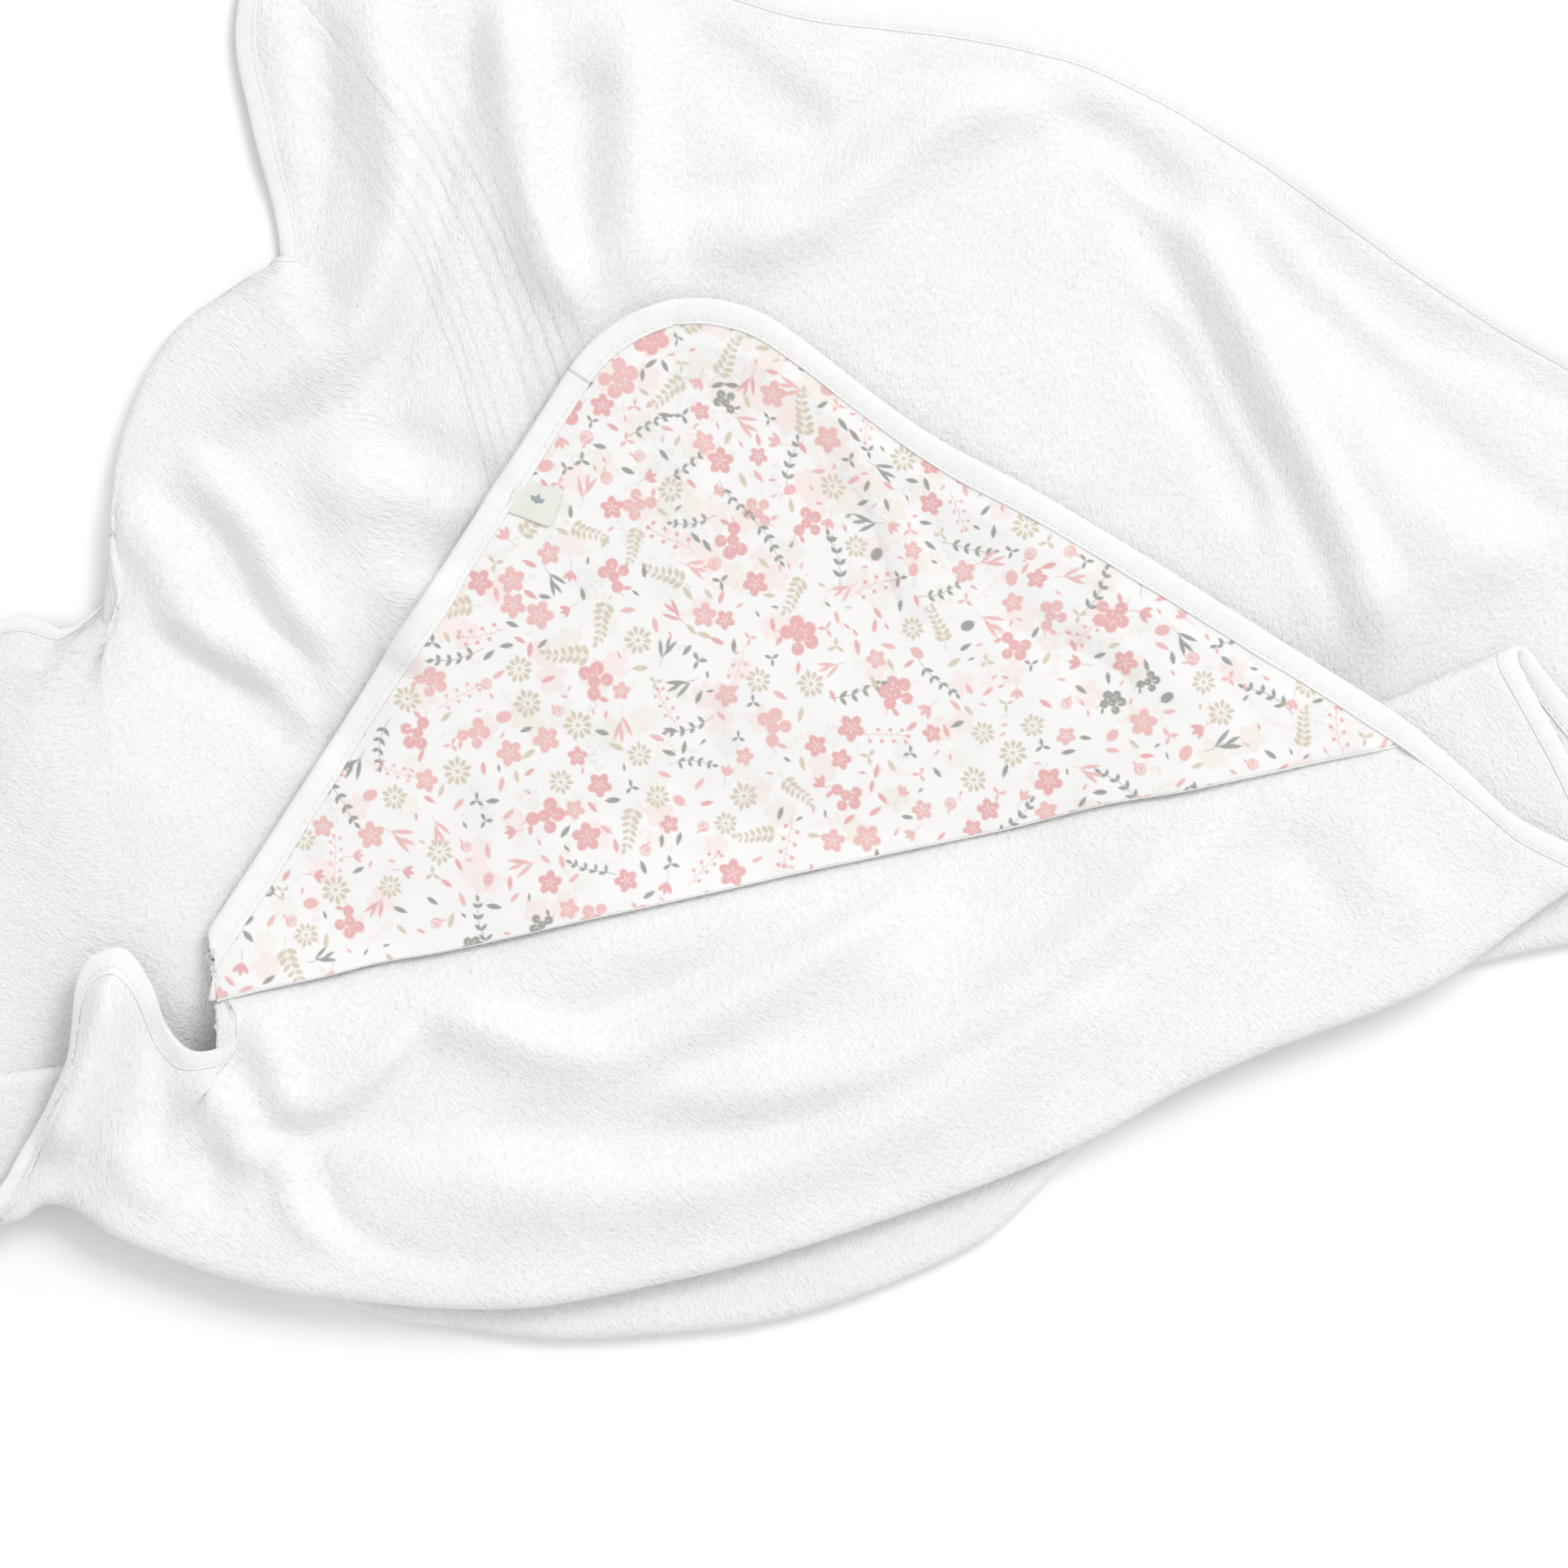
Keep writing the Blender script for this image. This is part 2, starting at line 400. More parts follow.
    # clear of the stack of turns in front
    left = smooth((-0.205 - w) / 0.03)
    keep = keep * smooth((d - d3 - 0.055 + 0.040 * left) / (0.06 - 0.022 * left))
    ahead_of = y3 - (-0.027 + 0.43 * (x3 - 0.269))
    keep = keep * smooth((ahead_of - 0.004) / 0.035 + (x3 < 0.20))
    rim = smooth((edge_distance(d, w) - 0.004) / 0.030)
    wide = 0.25 + 0.75 * rim
    z3 = FLOOR_Z + far_height(x3, y3) * keep * (wide + (1 - wide) * smooth(roll / 0.010))
    z3 = z3 + 2.2 * roll_r * kr * smooth(1 - (d_roll - d) / 0.075)

    out = np.concatenate((top, z_top[..., None]), -1)

    def put(mask, xy, z):
        out[mask] = np.concatenate((xy, np.broadcast_to(z, xy.shape[:-1])[..., None]), -1)[mask]

    put(d > d1, lay1, FLOOR_Z + 2 * LAYER)
    put(d > d2, lay2, FLOOR_Z + LAYER)
    put(d > d3, lay3, z3)
    for centre, q, o, mid in ((d1, q1, o1, FLOOR_Z + 2.5 * LAYER), (d2, q2, o2, FLOOR_Z + 1.5 * LAYER), (d3, q3, o3, FLOOR_Z + 0.5 * LAYER)):
        angle = (d - centre) / TURN_R
        here = np.abs(angle) < math.pi / 2
        angle = np.clip(angle, -math.pi / 2, math.pi / 2)
        put(here, q - TURN_R * o + TURN_R * np.cos(angle)[..., None] * o, mid - TURN_R * np.sin(angle))
    # the roll: round the crease, then back under to the bound edge
    lift = FLOOR_Z + 2.2 * roll_r * kr + far_height(crease[..., 0], crease[..., 1]) * (0.25 + 0.75 * smooth(roll / 0.010))
    angle = np.clip((d - d_roll) / roll_r, -math.pi / 2, math.pi / 2)
    here = rolled & (d > end_d) & (d < d_roll + math.pi * roll_r / 2)
    mid_z = (lift + FLOOR_Z) / 2
    put(here, crease - roll_x * out_dir + roll_x * np.cos(angle)[..., None] * out_dir, mid_z - (lift - FLOOR_Z) / 2 * np.sin(angle))
    back = rolled & (d >= d_roll + math.pi * roll_r / 2)
    f = np.clip((d - d_roll - math.pi * roll_r / 2) / np.maximum(roll - math.pi * roll_r / 2, 1e-3), 0, 1)[..., None]
    put(back, end + f * (far - end), FLOOR_Z)
    out[..., 2] += EDGE_LIFT * (1 - smooth((edge_distance(d, w) - 0.009) / 0.02))
    out[..., :2] += SHIFT
    return out


# ---------------------------------------------------------------- the grid on the flat square
def line_of(step):
    first = np.array((0, 1.0, 2.2, 3.6, 5.0, 6.2, 7.2, 8.2, 9.4)) * MM
    middle = np.linspace(first[-1], SIDE - first[-1], int(round((SIDE - 2 * first[-1]) / step)) + 1)
    return np.concatenate((first, middle[1:-1], (SIDE - first)[::-1]))


STEP = 1.75 * MM
LINE = line_of(STEP)
N = len(LINE)


def rounded(a, b):
    """Moves the points of the square's four corner cells inside the rounded corners."""
    a, b = a.copy(), b.copy()
    for fa in (0, 1):
        for fb in (0, 1):
            u = (CORNER_R - (SIDE - a if fa else a)) / CORNER_R
            v = (CORNER_R - (SIDE - b if fb else b)) / CORNER_R
            cell = (u > 0) & (v > 0)
            k = np.maximum(u, v) / np.maximum(np.hypot(u, v), 1e-9)
            ra, rb = CORNER_R * (1 - u * k), CORNER_R * (1 - v * k)
            a = np.where(cell, SIDE - ra if fa else ra, a)
            b = np.where(cell, SIDE - rb if fb else rb, b)
    return a, b


def unrounded(a, b):
    """The inverse of rounded()."""
    a, b = a.copy(), b.copy()
    for fa in (0, 1):
        for fb in (0, 1):
            u = (CORNER_R - (SIDE - a if fa else a)) / CORNER_R
            v = (CORNER_R - (SIDE - b if fb else b)) / CORNER_R
            cell = (u > 0) & (v > 0)
            k = np.hypot(u, v) / np.maximum(np.maximum(u, v), 1e-9)
            ra, rb = CORNER_R * (1 - u * k), CORNER_R * (1 - v * k)
            a = np.where(cell, SIDE - ra if fa else ra, a)
            b = np.where(cell, SIDE - rb if fb else rb, b)
    return a, b


A0, B0 = np.meshgrid(LINE, LINE, indexing="ij")
A, B = rounded(A0, B0)
D, W = (A + B) / math.sqrt(2), (B - A) / math.sqrt(2)
P = cloth(D, W)

# the cloth's own stiffness: creases between the pieces of the layout soften
for _ in range(5):
    inner = (P[:-2, 1:-1] + P[2:, 1:-1] + P[1:-1, :-2] + P[1:-1, 2:]) / 4
    P[1:-1, 1:-1] += 0.5 * (inner - P[1:-1, 1:-1])
    for s in ((0, slice(1, -1)), (-1, slice(1, -1)), (slice(1, -1), 0), (slice(1, -1), -1)):
        edge = P[s]
        lo = P[(s[0], slice(0, -2))] if isinstance(s[0], int) else P[(slice(0, -2), s[1])]
        hi = P[(s[0], slice(2, None))] if isinstance(s[0], int) else P[(slice(2, None), s[1])]
        P[s] = edge + 0.35 * ((lo + hi) / 2 - edge)


def frame_of(points):
    du = np.gradient(points, axis=0)
    dv = np.gradient(points, axis=1)
    return unit(np.cross(du, dv))


NORMAL = frame_of(P)
EDGE = np.minimum(np.minimum(A, B), np.minimum(SIDE - A, SIDE - B))
corner = np.minimum(np.minimum(A0, B0), np.minimum(SIDE - A0, SIDE - B0))
EDGE = np.where(corner < EDGE, corner, EDGE)


def sample(field, a, b):
    """Smooth (cubic) reading of a grid field at flat positions a, b."""
    a, b = unrounded(a, b)
    fa = np.interp(a, LINE, np.arange(N))
    fb = np.interp(b, LINE, np.arange(N))
    ia, ib = np.clip(np.floor(fa).astype(int), 0, N - 2), np.clip(np.floor(fb).astype(int), 0, N - 2)
    ta, tb = fa - ia, fb - ib

    def weights(t):
        return (0.5 * (-t + 2 * t**2 - t**3), 0.5 * (2 - 5 * t**2 + 3 * t**3), 0.5 * (t + 4 * t**2 - 3 * t**3), 0.5 * (-(t**2) + t**3))

    wa, wb = weights(ta), weights(tb)
    total = 0
    for i in range(4):
        row = 0
        xi = np.clip(ia + i - 1, 0, N - 1)
        for k in range(4):
            xk = np.clip(ib + k - 1, 0, N - 1)
            value = field[xi, xk]
            row = row + (wb[k][..., None] if value.ndim > wb[k].ndim else wb[k]) * value
        total = total + (wa[i][..., None] if np.ndim(row) > wa[i].ndim else wa[i]) * row
    return total


def at(d, w):
    a, b = (d - w) / math.sqrt(2), (d + w) / math.sqrt(2)
    return sample(P, a, b), unit(sample(NORMAL, a, b))


# ---------------------------------------------------------------- mesh helpers
def new_object(name, verts, faces, material, smooth_faces=True):
    verts = np.asarray(verts, np.float32).reshape(-1, 3)
    mesh = bpy.data.meshes.new(name)
    groups = faces if isinstance(faces, (list, tuple)) else [faces]
    groups = [np.asarray(g, np.int32) for g in groups if len(g)]
    loops = np.concatenate([g.reshape(-1) for g in groups])
    sizes = np.concatenate([np.full(len(g), g.shape[1], np.int32) for g in groups])
    starts = np.concatenate(([0], np.cumsum(sizes)[:-1])).astype(np.int32)
    mesh.vertices.add(len(verts))
    mesh.vertices.foreach_set("co", verts.reshape(-1))
    mesh.loops.add(len(loops))
    mesh.loops.foreach_set("vertex_index", loops)
    mesh.polygons.add(len(sizes))
    mesh.polygons.foreach_set("loop_start", starts)
    mesh.polygons.foreach_set("loop_total", sizes)
    mesh.polygons.foreach_set("use_smooth", np.full(len(sizes), smooth_faces))
    mesh.update(calc_edges=True)
    mesh.validate()
    obj = bpy.data.objects.new(name, mesh)
    bpy.context.scene.collection.objects.link(obj)
    mesh.materials.append(material)
    return obj


def vector_attribute(obj, name, values):
    attribute = obj.data.attributes.new(name, "FLOAT_VECTOR", "POINT")
    attribute.data.foreach_set("vector", np.asarray(values, np.float32).reshape(-1))


def colour_attribute(obj, name, values):
    attribute = obj.data.attributes.new(name, "FLOAT_COLOR", "POINT")
    attribute.data.foreach_set("color", np.asarray(values, np.float32).reshape(-1))


def bake_map(obj, uv):
    layer = obj.data.uv_layers.new(name="OFBake")
    index = np.empty(len(obj.data.loops), np.int32)
    obj.data.loops.foreach_get("vertex_index", index)
    layer.data.foreach_set("uv", np.asarray(uv, np.float32)[index].reshape(-1))


def strip_faces(n, m, close_u=True, close_v=True):
    i = np.arange(n if close_u else n - 1)
    k = np.arange(m if close_v else m - 1)
    i, k = np.meshgrid(i, k, indexing="ij")
    i2, k2 = (i + 1) % n, (k + 1) % m
    return np.stack((i * m + k, i2 * m + k, i2 * m + k2, i * m + k2), -1).reshape(-1, 4)


# ---------------------------------------------------------------- materials
def linear(r, g, b):
    return tuple(((c / 255 + 0.055) / 1.055) ** 2.4 for c in (r, g, b)) + (1.0,)


class Cloth:
    """A Principled material with helpers for its node tree."""

    def __init__(self, name, roughness, sheen=0.0, specular=0.3):
        self.material = bpy.data.materials.new(name)
        self.material.use_nodes = True
        self.tree = self.material.node_tree
        self.shader = self.tree.nodes["Principled BSDF"]
        self.shader.inputs["Roughness"].default_value = roughness
        self.shader.inputs["Specular IOR Level"].default_value = specular
        if sheen:
            self.shader.inputs["Sheen Weight"].default_value = sheen
            self.shader.inputs["Sheen Roughness"].default_value = 0.55
        self.flat = self.add("ShaderNodeAttribute")
        self.flat.attribute_name = "Flat"

    def add(self, kind, **values):
        node = self.tree.nodes.new(kind)
        for key, value in values.items():
            setattr(node, key, value)
        return node

    def link(self, a, b):
        self.tree.links.new(a, b)

    def place(self, scale, turn=0.0):
        node = self.add("ShaderNodeMapping")
        node.inputs["Scale"].default_value = scale
        node.inputs["Rotation"].default_value = (0, 0, turn)
        self.link(self.flat.outputs["Vector"], node.inputs["Vector"])
        return node.outputs["Vector"]

    def noise(self, scale, detail=2.0, rough=0.5, at=None):
        node = self.add("ShaderNodeTexNoise")
        node.inputs["Scale"].default_value = scale
        node.inputs["Detail"].default_value = detail
        node.inputs["Roughness"].default_value = rough
        self.link(at or self.flat.outputs["Vector"], node.inputs["Vector"])
        return node.outputs["Fac"]

    def cells(self, scale, at=None, feature="F1"):
        node = self.add("ShaderNodeTexVoronoi", feature=feature)
        node.inputs["Scale"].default_value = scale
        self.link(at or self.flat.outputs["Vector"], node.inputs["Vector"])
        return node.outputs["Distance"]

    def wave(self, scale, direction="X", distortion=0.0, at=None):
        node = self.add("ShaderNodeTexWave", wave_type="BANDS", bands_direction=direction)
        node.inputs["Scale"].default_value = scale
        node.inputs["Distortion"].default_value = distortion
        self.link(at or self.flat.outputs["Vector"], node.inputs["Vector"])
        return node.outputs["Fac"]

    def math(self, operation, a, b=None):
        node = self.add("ShaderNodeMath", operation=operation)
        for k, v in enumerate((a, b)):
            if v is None:
                continue
            if isinstance(v, (int, float)):
                node.inputs[k].default_value = v
            else:
                self.link(v, node.inputs[k])
        return node.outputs[0]

    def ramp(self, value, stops):
        node = self.add("ShaderNodeValToRGB")
        ramp = node.color_ramp
        while len(ramp.elements) < len(stops):
            ramp.elements.new(0.5)
        for element, (position, colour) in zip(ramp.elements, stops):
            element.position = position
            element.color = colour
        self.link(value, node.inputs["Fac"])
        return node.outputs["Color"]

    def mix(self, factor, a, b):
        node = self.add("ShaderNodeMix", data_type="RGBA")
        for socket, v in ((node.inputs[0], factor), (node.inputs[6], a), (node.inputs[7], b)):
            if isinstance(v, (int, float, tuple)):
                socket.default_value = v
            else:
                self.link(v, socket)
        return node.outputs[2]

    def bump(self, *layers):
        last = None
        for height, distance, strength in layers:
            node = self.add("ShaderNodeBump")
            node.inputs["Strength"].default_value = strength
            node.inputs["Distance"].default_value = distance
            self.link(height, node.inputs["Height"])
            if last:
                self.link(last, node.inputs["Normal"])
            last = node.outputs["Normal"]
        self.link(last, self.shader.inputs["Normal"])

    def colour(self, socket):
        self.link(socket, self.shader.inputs["Base Color"])


def terry_material(name, warm=0.0):
    m = Cloth(name, 0.97, sheen=0.18, specular=0.12)
    loops = m.cells(880.0, at=m.place((1.0, 0.72, 1.0)))
    rows = m.noise(1.0, 2.0, 0.6, at=m.place((1050.0, 520.0, 900.0), 0.04))
    tufts = m.noise(430.0, 3.0, 0.62)
    broad = m.noise(46.0, 3.0, 0.5)
    loop_height = m.math("SUBTRACT", 1.0, loops)
    mixed = m.math("ADD", m.math("MULTIPLY", loop_height, 0.5), m.math("ADD", m.math("MULTIPLY", rows, 0.8), m.math("MULTIPLY", tufts, 0.9)))
    m.bump((broad, 0.0012, 0.35), (mixed, 0.00060, 0.85))
    base = m.ramp(broad, ((0.30, (0.845 + warm, 0.842 + warm, 0.835, 1)), (0.72, (0.875 + warm, 0.873 + warm, 0.866, 1))))
    specks = m.ramp(m.math("ADD", m.math("MULTIPLY", tufts, 0.6), m.math("MULTIPLY", rows, 0.4)), ((0.30, (0.90, 0.90, 0.895, 1)), (0.56, (1, 1, 1, 1))))
    node = m.add("ShaderNodeMix", data_type="RGBA", blend_type="MULTIPLY")
    node.inputs[0].default_value = 1.0
    m.link(base, node.inputs[6])
    m.link(specks, node.inputs[7])
    m.colour(node.outputs[2])
    return m.material


def tape_material():
    m = Cloth("jersey_tape", 0.90, sheen=0.10, specular=0.20)
    ribs = m.wave(190.0, "X", 1.2)
    courses = m.wave(240.0, "Y", 0.8)
    nap = m.noise(1500.0, 2.0, 0.6)
    pucker = m.noise(240.0, 1.0, 0.5, at=m.place((1.0, 0.25, 1.0)))
    m.bump((pucker, 0.0006, 0.35), (m.math("ADD", m.math("MULTIPLY", ribs, 0.6), m.math("ADD", m.math("MULTIPLY", courses, 0.4), nap)), 0.00012, 0.6))
    tone = m.ramp(m.math("ADD", m.math("MULTIPLY", nap, 0.5), m.math("MULTIPLY", pucker, 0.5)), ((0.32, (0.800, 0.800, 0.797, 1)), (0.66, (0.850, 0.850, 0.847, 1))))
    m.colour(tone)
    return m.material


def print_material():
    m = Cloth("printed_cotton", 0.86, sheen=0.06, specular=0.22)
    ink = m.add("ShaderNodeAttribute")
    ink.attribute_name = "Ink"
    ribs = m.wave(340.0, "X", 0.6)
    courses = m.wave(420.0, "Y", 0.6)
    fibre = m.noise(1700.0, 2.0, 0.6)
    m.bump((m.math("ADD", m.math("MULTIPLY", ribs, 0.7), m.math("ADD", m.math("MULTIPLY", courses, 0.5), m.math("MULTIPLY", fibre, 0.6))), 0.00009, 0.55))
    ground = m.ramp(m.noise(90.0, 3.0, 0.5), ((0.30, (0.808, 0.800, 0.795, 1)), (0.70, (0.838, 0.831, 0.826, 1))))
    # the ink is a little thinner on the tops of the stitches
    cover = m.math("MULTIPLY", ink.outputs["Alpha"], m.ramp(fibre, ((0.25, (0.84, 0.84, 0.84, 1)), (0.6, (1, 1, 1, 1)))))
    m.colour(m.mix(cover, ground, ink.outputs["Color"]))
    return m.material


def thread_material():
    m = Cloth("white_thread", 0.62, sheen=0.05, specular=0.35)
    twist = m.wave(900.0, "DIAGONAL", 0.2)
    m.bump((twist, 0.00008, 0.7))
    m.colour(m.ramp(twist, ((0.2, (0.82, 0.82, 0.815, 1)), (0.8, (0.91, 0.91, 0.905, 1)))))
    return m.material


def satin_material(name, low, high, scale=520.0):
    m = Cloth(name, 0.55, sheen=0.04, specular=0.35)
    warp = m.wave(scale, "X", 0.2)
    weft = m.wave(scale * 1.4, "Y", 0.2)
    fuzz = m.noise(1400.0, 2.0, 0.5)
    m.bump((m.math("ADD", m.math("MULTIPLY", warp, 0.6), m.math("MULTIPLY", weft, 0.5)), 0.00007, 0.6))
    m.colour(m.ramp(m.math("ADD", m.math("MULTIPLY", warp, 0.4), m.math("MULTIPLY", fuzz, 0.6)), ((0.2, low), (0.8, high))))
    return m.material


TERRY = terry_material("terry_loops")
BACKING = terry_material("hood_terry_loops")
TAPE = tape_material()
PRINT = print_material()
THREAD = thread_material()
LABEL = satin_material("woven_label", linear(214, 213, 205), linear(232, 231, 224))
MARK = satin_material("woven_mark", linear(140, 150, 158), linear(165, 175, 182), 700.0)
CARE = satin_material("care_satin", linear(234, 234, 232), linear(246, 246, 245))


# ---------------------------------------------------------------- the towel
pile = 0.10 * MM * noise2(A, B, 0.0034, 21) + 0.08 * MM * noise2(A, B, 0.0075, 22)
thin = smooth((EDGE - 0.0065) / 0.006)
HALF_T = (0.75 + (TERRY_T / 2 / MM - 0.75) * thin) * MM
up_side = P + NORMAL * (HALF_T + pile * thin)[..., None]
pile2 = 0.10 * MM * noise2(A, B, 0.0034, 23) + 0.08 * MM * noise2(A, B, 0.0075, 24)
down_side = P - NORMAL * (HALF_T + pile2 * thin)[..., None]
down_side[..., 2] = np.maximum(down_side[..., 2], 0.00002)
index = np.arange(N * N).reshape(N, N)
quads_up = np.stack((index[:-1, :-1], index[1:, :-1], index[1:, 1:], index[:-1, 1:]), -1).reshape(-1, 4)
quads_down = quads_up[:, ::-1] + N * N
ring = np.concatenate((index[:-1, 0], index[-1, :-1], index[:0:-1, -1], index[0, :0:-1]))
nxt = np.roll(ring, -1)
wall = np.stack((ring, ring + N * N, nxt + N * N, nxt), -1)
# the upper side has to face up where the hood is
faces_all = np.concatenate((quads_up, quads_down, wall))
if NORMAL[N // 8, N // 8, 2] < 0:
    up_side, down_side = down_side, up_side
towel = new_object("towel_terry", np.concatenate((up_side.reshape(-1, 3), down_side.reshape(-1, 3))), faces_all, TERRY)
flat_a, flat_b = A.reshape(-1), B.reshape(-1)
vector_attribute(towel, "Flat", np.concatenate((np.stack((flat_a, flat_b, 0 * flat_a), 1), np.stack((flat_a, flat_b, 0 * flat_a + 0.2), 1))))
bake_map(towel, np.concatenate((np.stack((flat_a / SIDE * 0.495, flat_b / SIDE * 0.99), 1), np.stack((flat_a / SIDE * 0.495 + 0.5, flat_b / SIDE * 0.99), 1))))
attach(towel, "towel")
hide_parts("towel_body")

# ---------------------------------------------------------------- hood layers, laid on the towel's corner
BACK_T = 1.8 * MM
FACE_T = 0.5 * MM


def hood_profile(d, w):
    """Height above the towel's middle of the backing's underside, its thickness, and the height of its top."""
    a, b = (d - w) / math.sqrt(2), (d + w) / math.sqrt(2)
    u, v = np.maximum(CORNER_R - a, 0), np.maximum(CORNER_R - b, 0)
    q = np.where((u > 0) & (v > 0), CORNER_R - np.hypot(u, v), np.minimum(a, b))
    e = smooth((q - 0.0075) / 0.009)
    below = (0.78 + (TERRY_T / 2 / MM + 0.42 - 0.78) * e) * MM
    thick = (0.75 + (BACK_T / MM - 0.75) * e) * MM
    across = np.clip(1 - (np.abs(w) / np.maximum(d, 1e-4)) ** 2, 0, 1)
    dome = 1.0 * MM * smooth((d - 0.06) / (HOOD_H - 0.06)) * across
    up, down = folds(*(flat(d, w)[..., k] for k in (0, 1)), HOOD_CRESTS)
    wave = (0.9 * noise2(d, w, 0.045, 31) + 0.35 * noise2(d, w, 0.019, 32)) * MM
    soft = smooth((q - 0.010) / 0.03)
    extra = np.maximum((dome + wave + up - down) * soft + 0.4 * MM * soft, 0)
    return q, below + extra, thick


def hood_sheet(d, w, height):
    p, n = at(d, w)
    n = n * np.where(n[..., 2:3] < 0, -1.0, 1.0)
    k = smooth((height - 2.5 * MM) / (4 * MM))[..., None]
    n = unit(n * (1 - k) + np.array((0, 0, 1.0)) * k)
    return p + n * height[..., None]


def bend_with(obj):
    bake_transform(obj)


HOOD_CRESTS = (
    (-2.4, 8, 9, ((13.9, 55.6), (29.2, 37.5), (43.1, 18.1), (50.6, -8.3), (51.4, -27.8))),
    (2.0, 9, 12, ((30.6, 55.6), (50.0, 34.7), (63.3, 11.1), (68.9, -19.4))),
    (1.8, 8, 10, ((-11.1, 50.0), (-13.9, 16.7), (-19.4, -16.7))),
    (-1.6, 8, 9, ((87.5, -0.0), (108.3, -19.4), (127.8, -34.7), (144.4, -44.4))),
    (1.8, 8, 9, ((102.8, 2.8), (127.8, -16.7), (155.6, -36.1), (177.8, -50.0))),
    (-1.8, 9, 9, ((-69.4, -11.1), (-83.3, -36.1), (-100.0, -55.6), (-119.4, -72.2))),
    (1.6, 9, 10, ((-50.0, -16.7), (-58.3, -41.7), (-72.2, -63.9), (-94.4, -83.3))),
    (-1.4, 9, 9, ((-5.6, -38.9), (-11.1, -61.1), (-22.2, -80.6))),
)


def masked_grid(rows, columns, keep):
    """Points and quads of a (d, w) grid, only cells whose four corners are kept, and the boundary's directed edges."""
    dd, ww = np.meshgrid(rows, columns, indexing="ij")
    ok = keep(dd, ww)
    cell = ok[:-1, :-1] & ok[1:, :-1] & ok[1:, 1:] & ok[:-1, 1:]
    ids = np.arange(dd.size).reshape(dd.shape)
    quads = np.stack((ids[:-1, :-1], ids[1:, :-1], ids[1:, 1:], ids[:-1, 1:]), -1)[cell]
    used = np.zeros(dd.size, bool)
    used[quads.reshape(-1)] = True
    renumber = np.cumsum(used) - 1
    quads = renumber[quads]
    edges = np.concatenate([quads[:, [k, (k + 1) % 4]] for k in range(4)])
    key = edges[:, 0].astype(np.int64) * (1 << 32) + edges[:, 1]
    back = edges[:, 1].astype(np.int64) * (1 << 32) + edges[:, 0]
    border = edges[~np.isin(key, back)]
    return dd.reshape(-1)[used], ww.reshape(-1)[used], quads, border


def slab(name, d, w, quads, border, low, high, material):
    """A closed sheet between two heights above the towel's middle."""
    n = len(d)
    top, bottom = hood_sheet(d, w, high), hood_sheet(d, w, low)
    walls = np.stack((border[:, 1], border[:, 0], border[:, 0] + n, border[:, 1] + n), -1)
    faces = np.concatenate((quads, quads[:, ::-1] + n, walls))
    a, b, c = top[quads[0][0]], top[quads[0][1]], top[quads[0][2]]
    if np.cross(b - a, c - b)[2] < 0:
        faces = faces[:, ::-1]
    obj = new_object(name, np.concatenate((top, bottom)), faces, material)
    vector_attribute(obj, "Flat", np.concatenate((np.stack((w, d, 0 * d), 1), np.stack((w, d, 0 * d + 0.2), 1))))
    u = (w + HOOD_H) / (2 * HOOD_H) * 0.98 + 0.01
    v = d / HOOD_H * 0.49 + 0.005
    bake_map(obj, np.concatenate((np.stack((u, v), 1), np.stack((u, v + 0.5), 1))))
    return obj


def inset_of(d, w):
    a, b = (d - w) / math.sqrt(2), (d + w) / math.sqrt(2)
    u, v = np.maximum(CORNER_R - a, 0), np.maximum(CORNER_R - b, 0)
    return np.where((u > 0) & (v > 0), CORNER_R - np.hypot(u, v), np.minimum(a, b))


# terry backing, with a rounded front edge
step = 1.6 * MM
rows = np.concatenate((np.arange(0.02, HOOD_H - 0.0022, step), HOOD_H - np.array((2.0, 1.2, 0.6, 0.2, 0.0)) * MM))
columns = np.linspace(-HOOD_H, HOOD_H, int(2 * HOOD_H / step) + 1)
d, w, quads, border = masked_grid(rows, columns, lambda dd, ww: inset_of(dd, ww) > 0.0034)
q, below, thick = hood_profile(d, w)
nose = np.clip((HOOD_H - d) / 0.0012, 0, 1)
nose = np.sqrt(np.maximum(1 - (1 - nose) ** 2, 0.02))
backing = slab("hood_backing", d, w, quads, border, below + thick * (0.5 - 0.5 * nose), below + thick * (0.5 + 0.5 * nose), BACKING)
bend_with(backing)
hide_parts("hood_terry_backing")

# ---------------------------------------------------------------- the print: small scattered flowers, leaves and berries
PX = 0.20  # millimetres to one step of the drawing
ROWS, COLS = int(HOOD_H / MM / PX) + 60, int(2 * HOOD_H / MM / PX) + 60
inks = np.zeros((ROWS, COLS, 3), np.float32)
cover = np.zeros((ROWS, COLS), np.float32)
inks[:] = (0.8, 0.7, 0.68)
dice = np.random.default_rng(5)


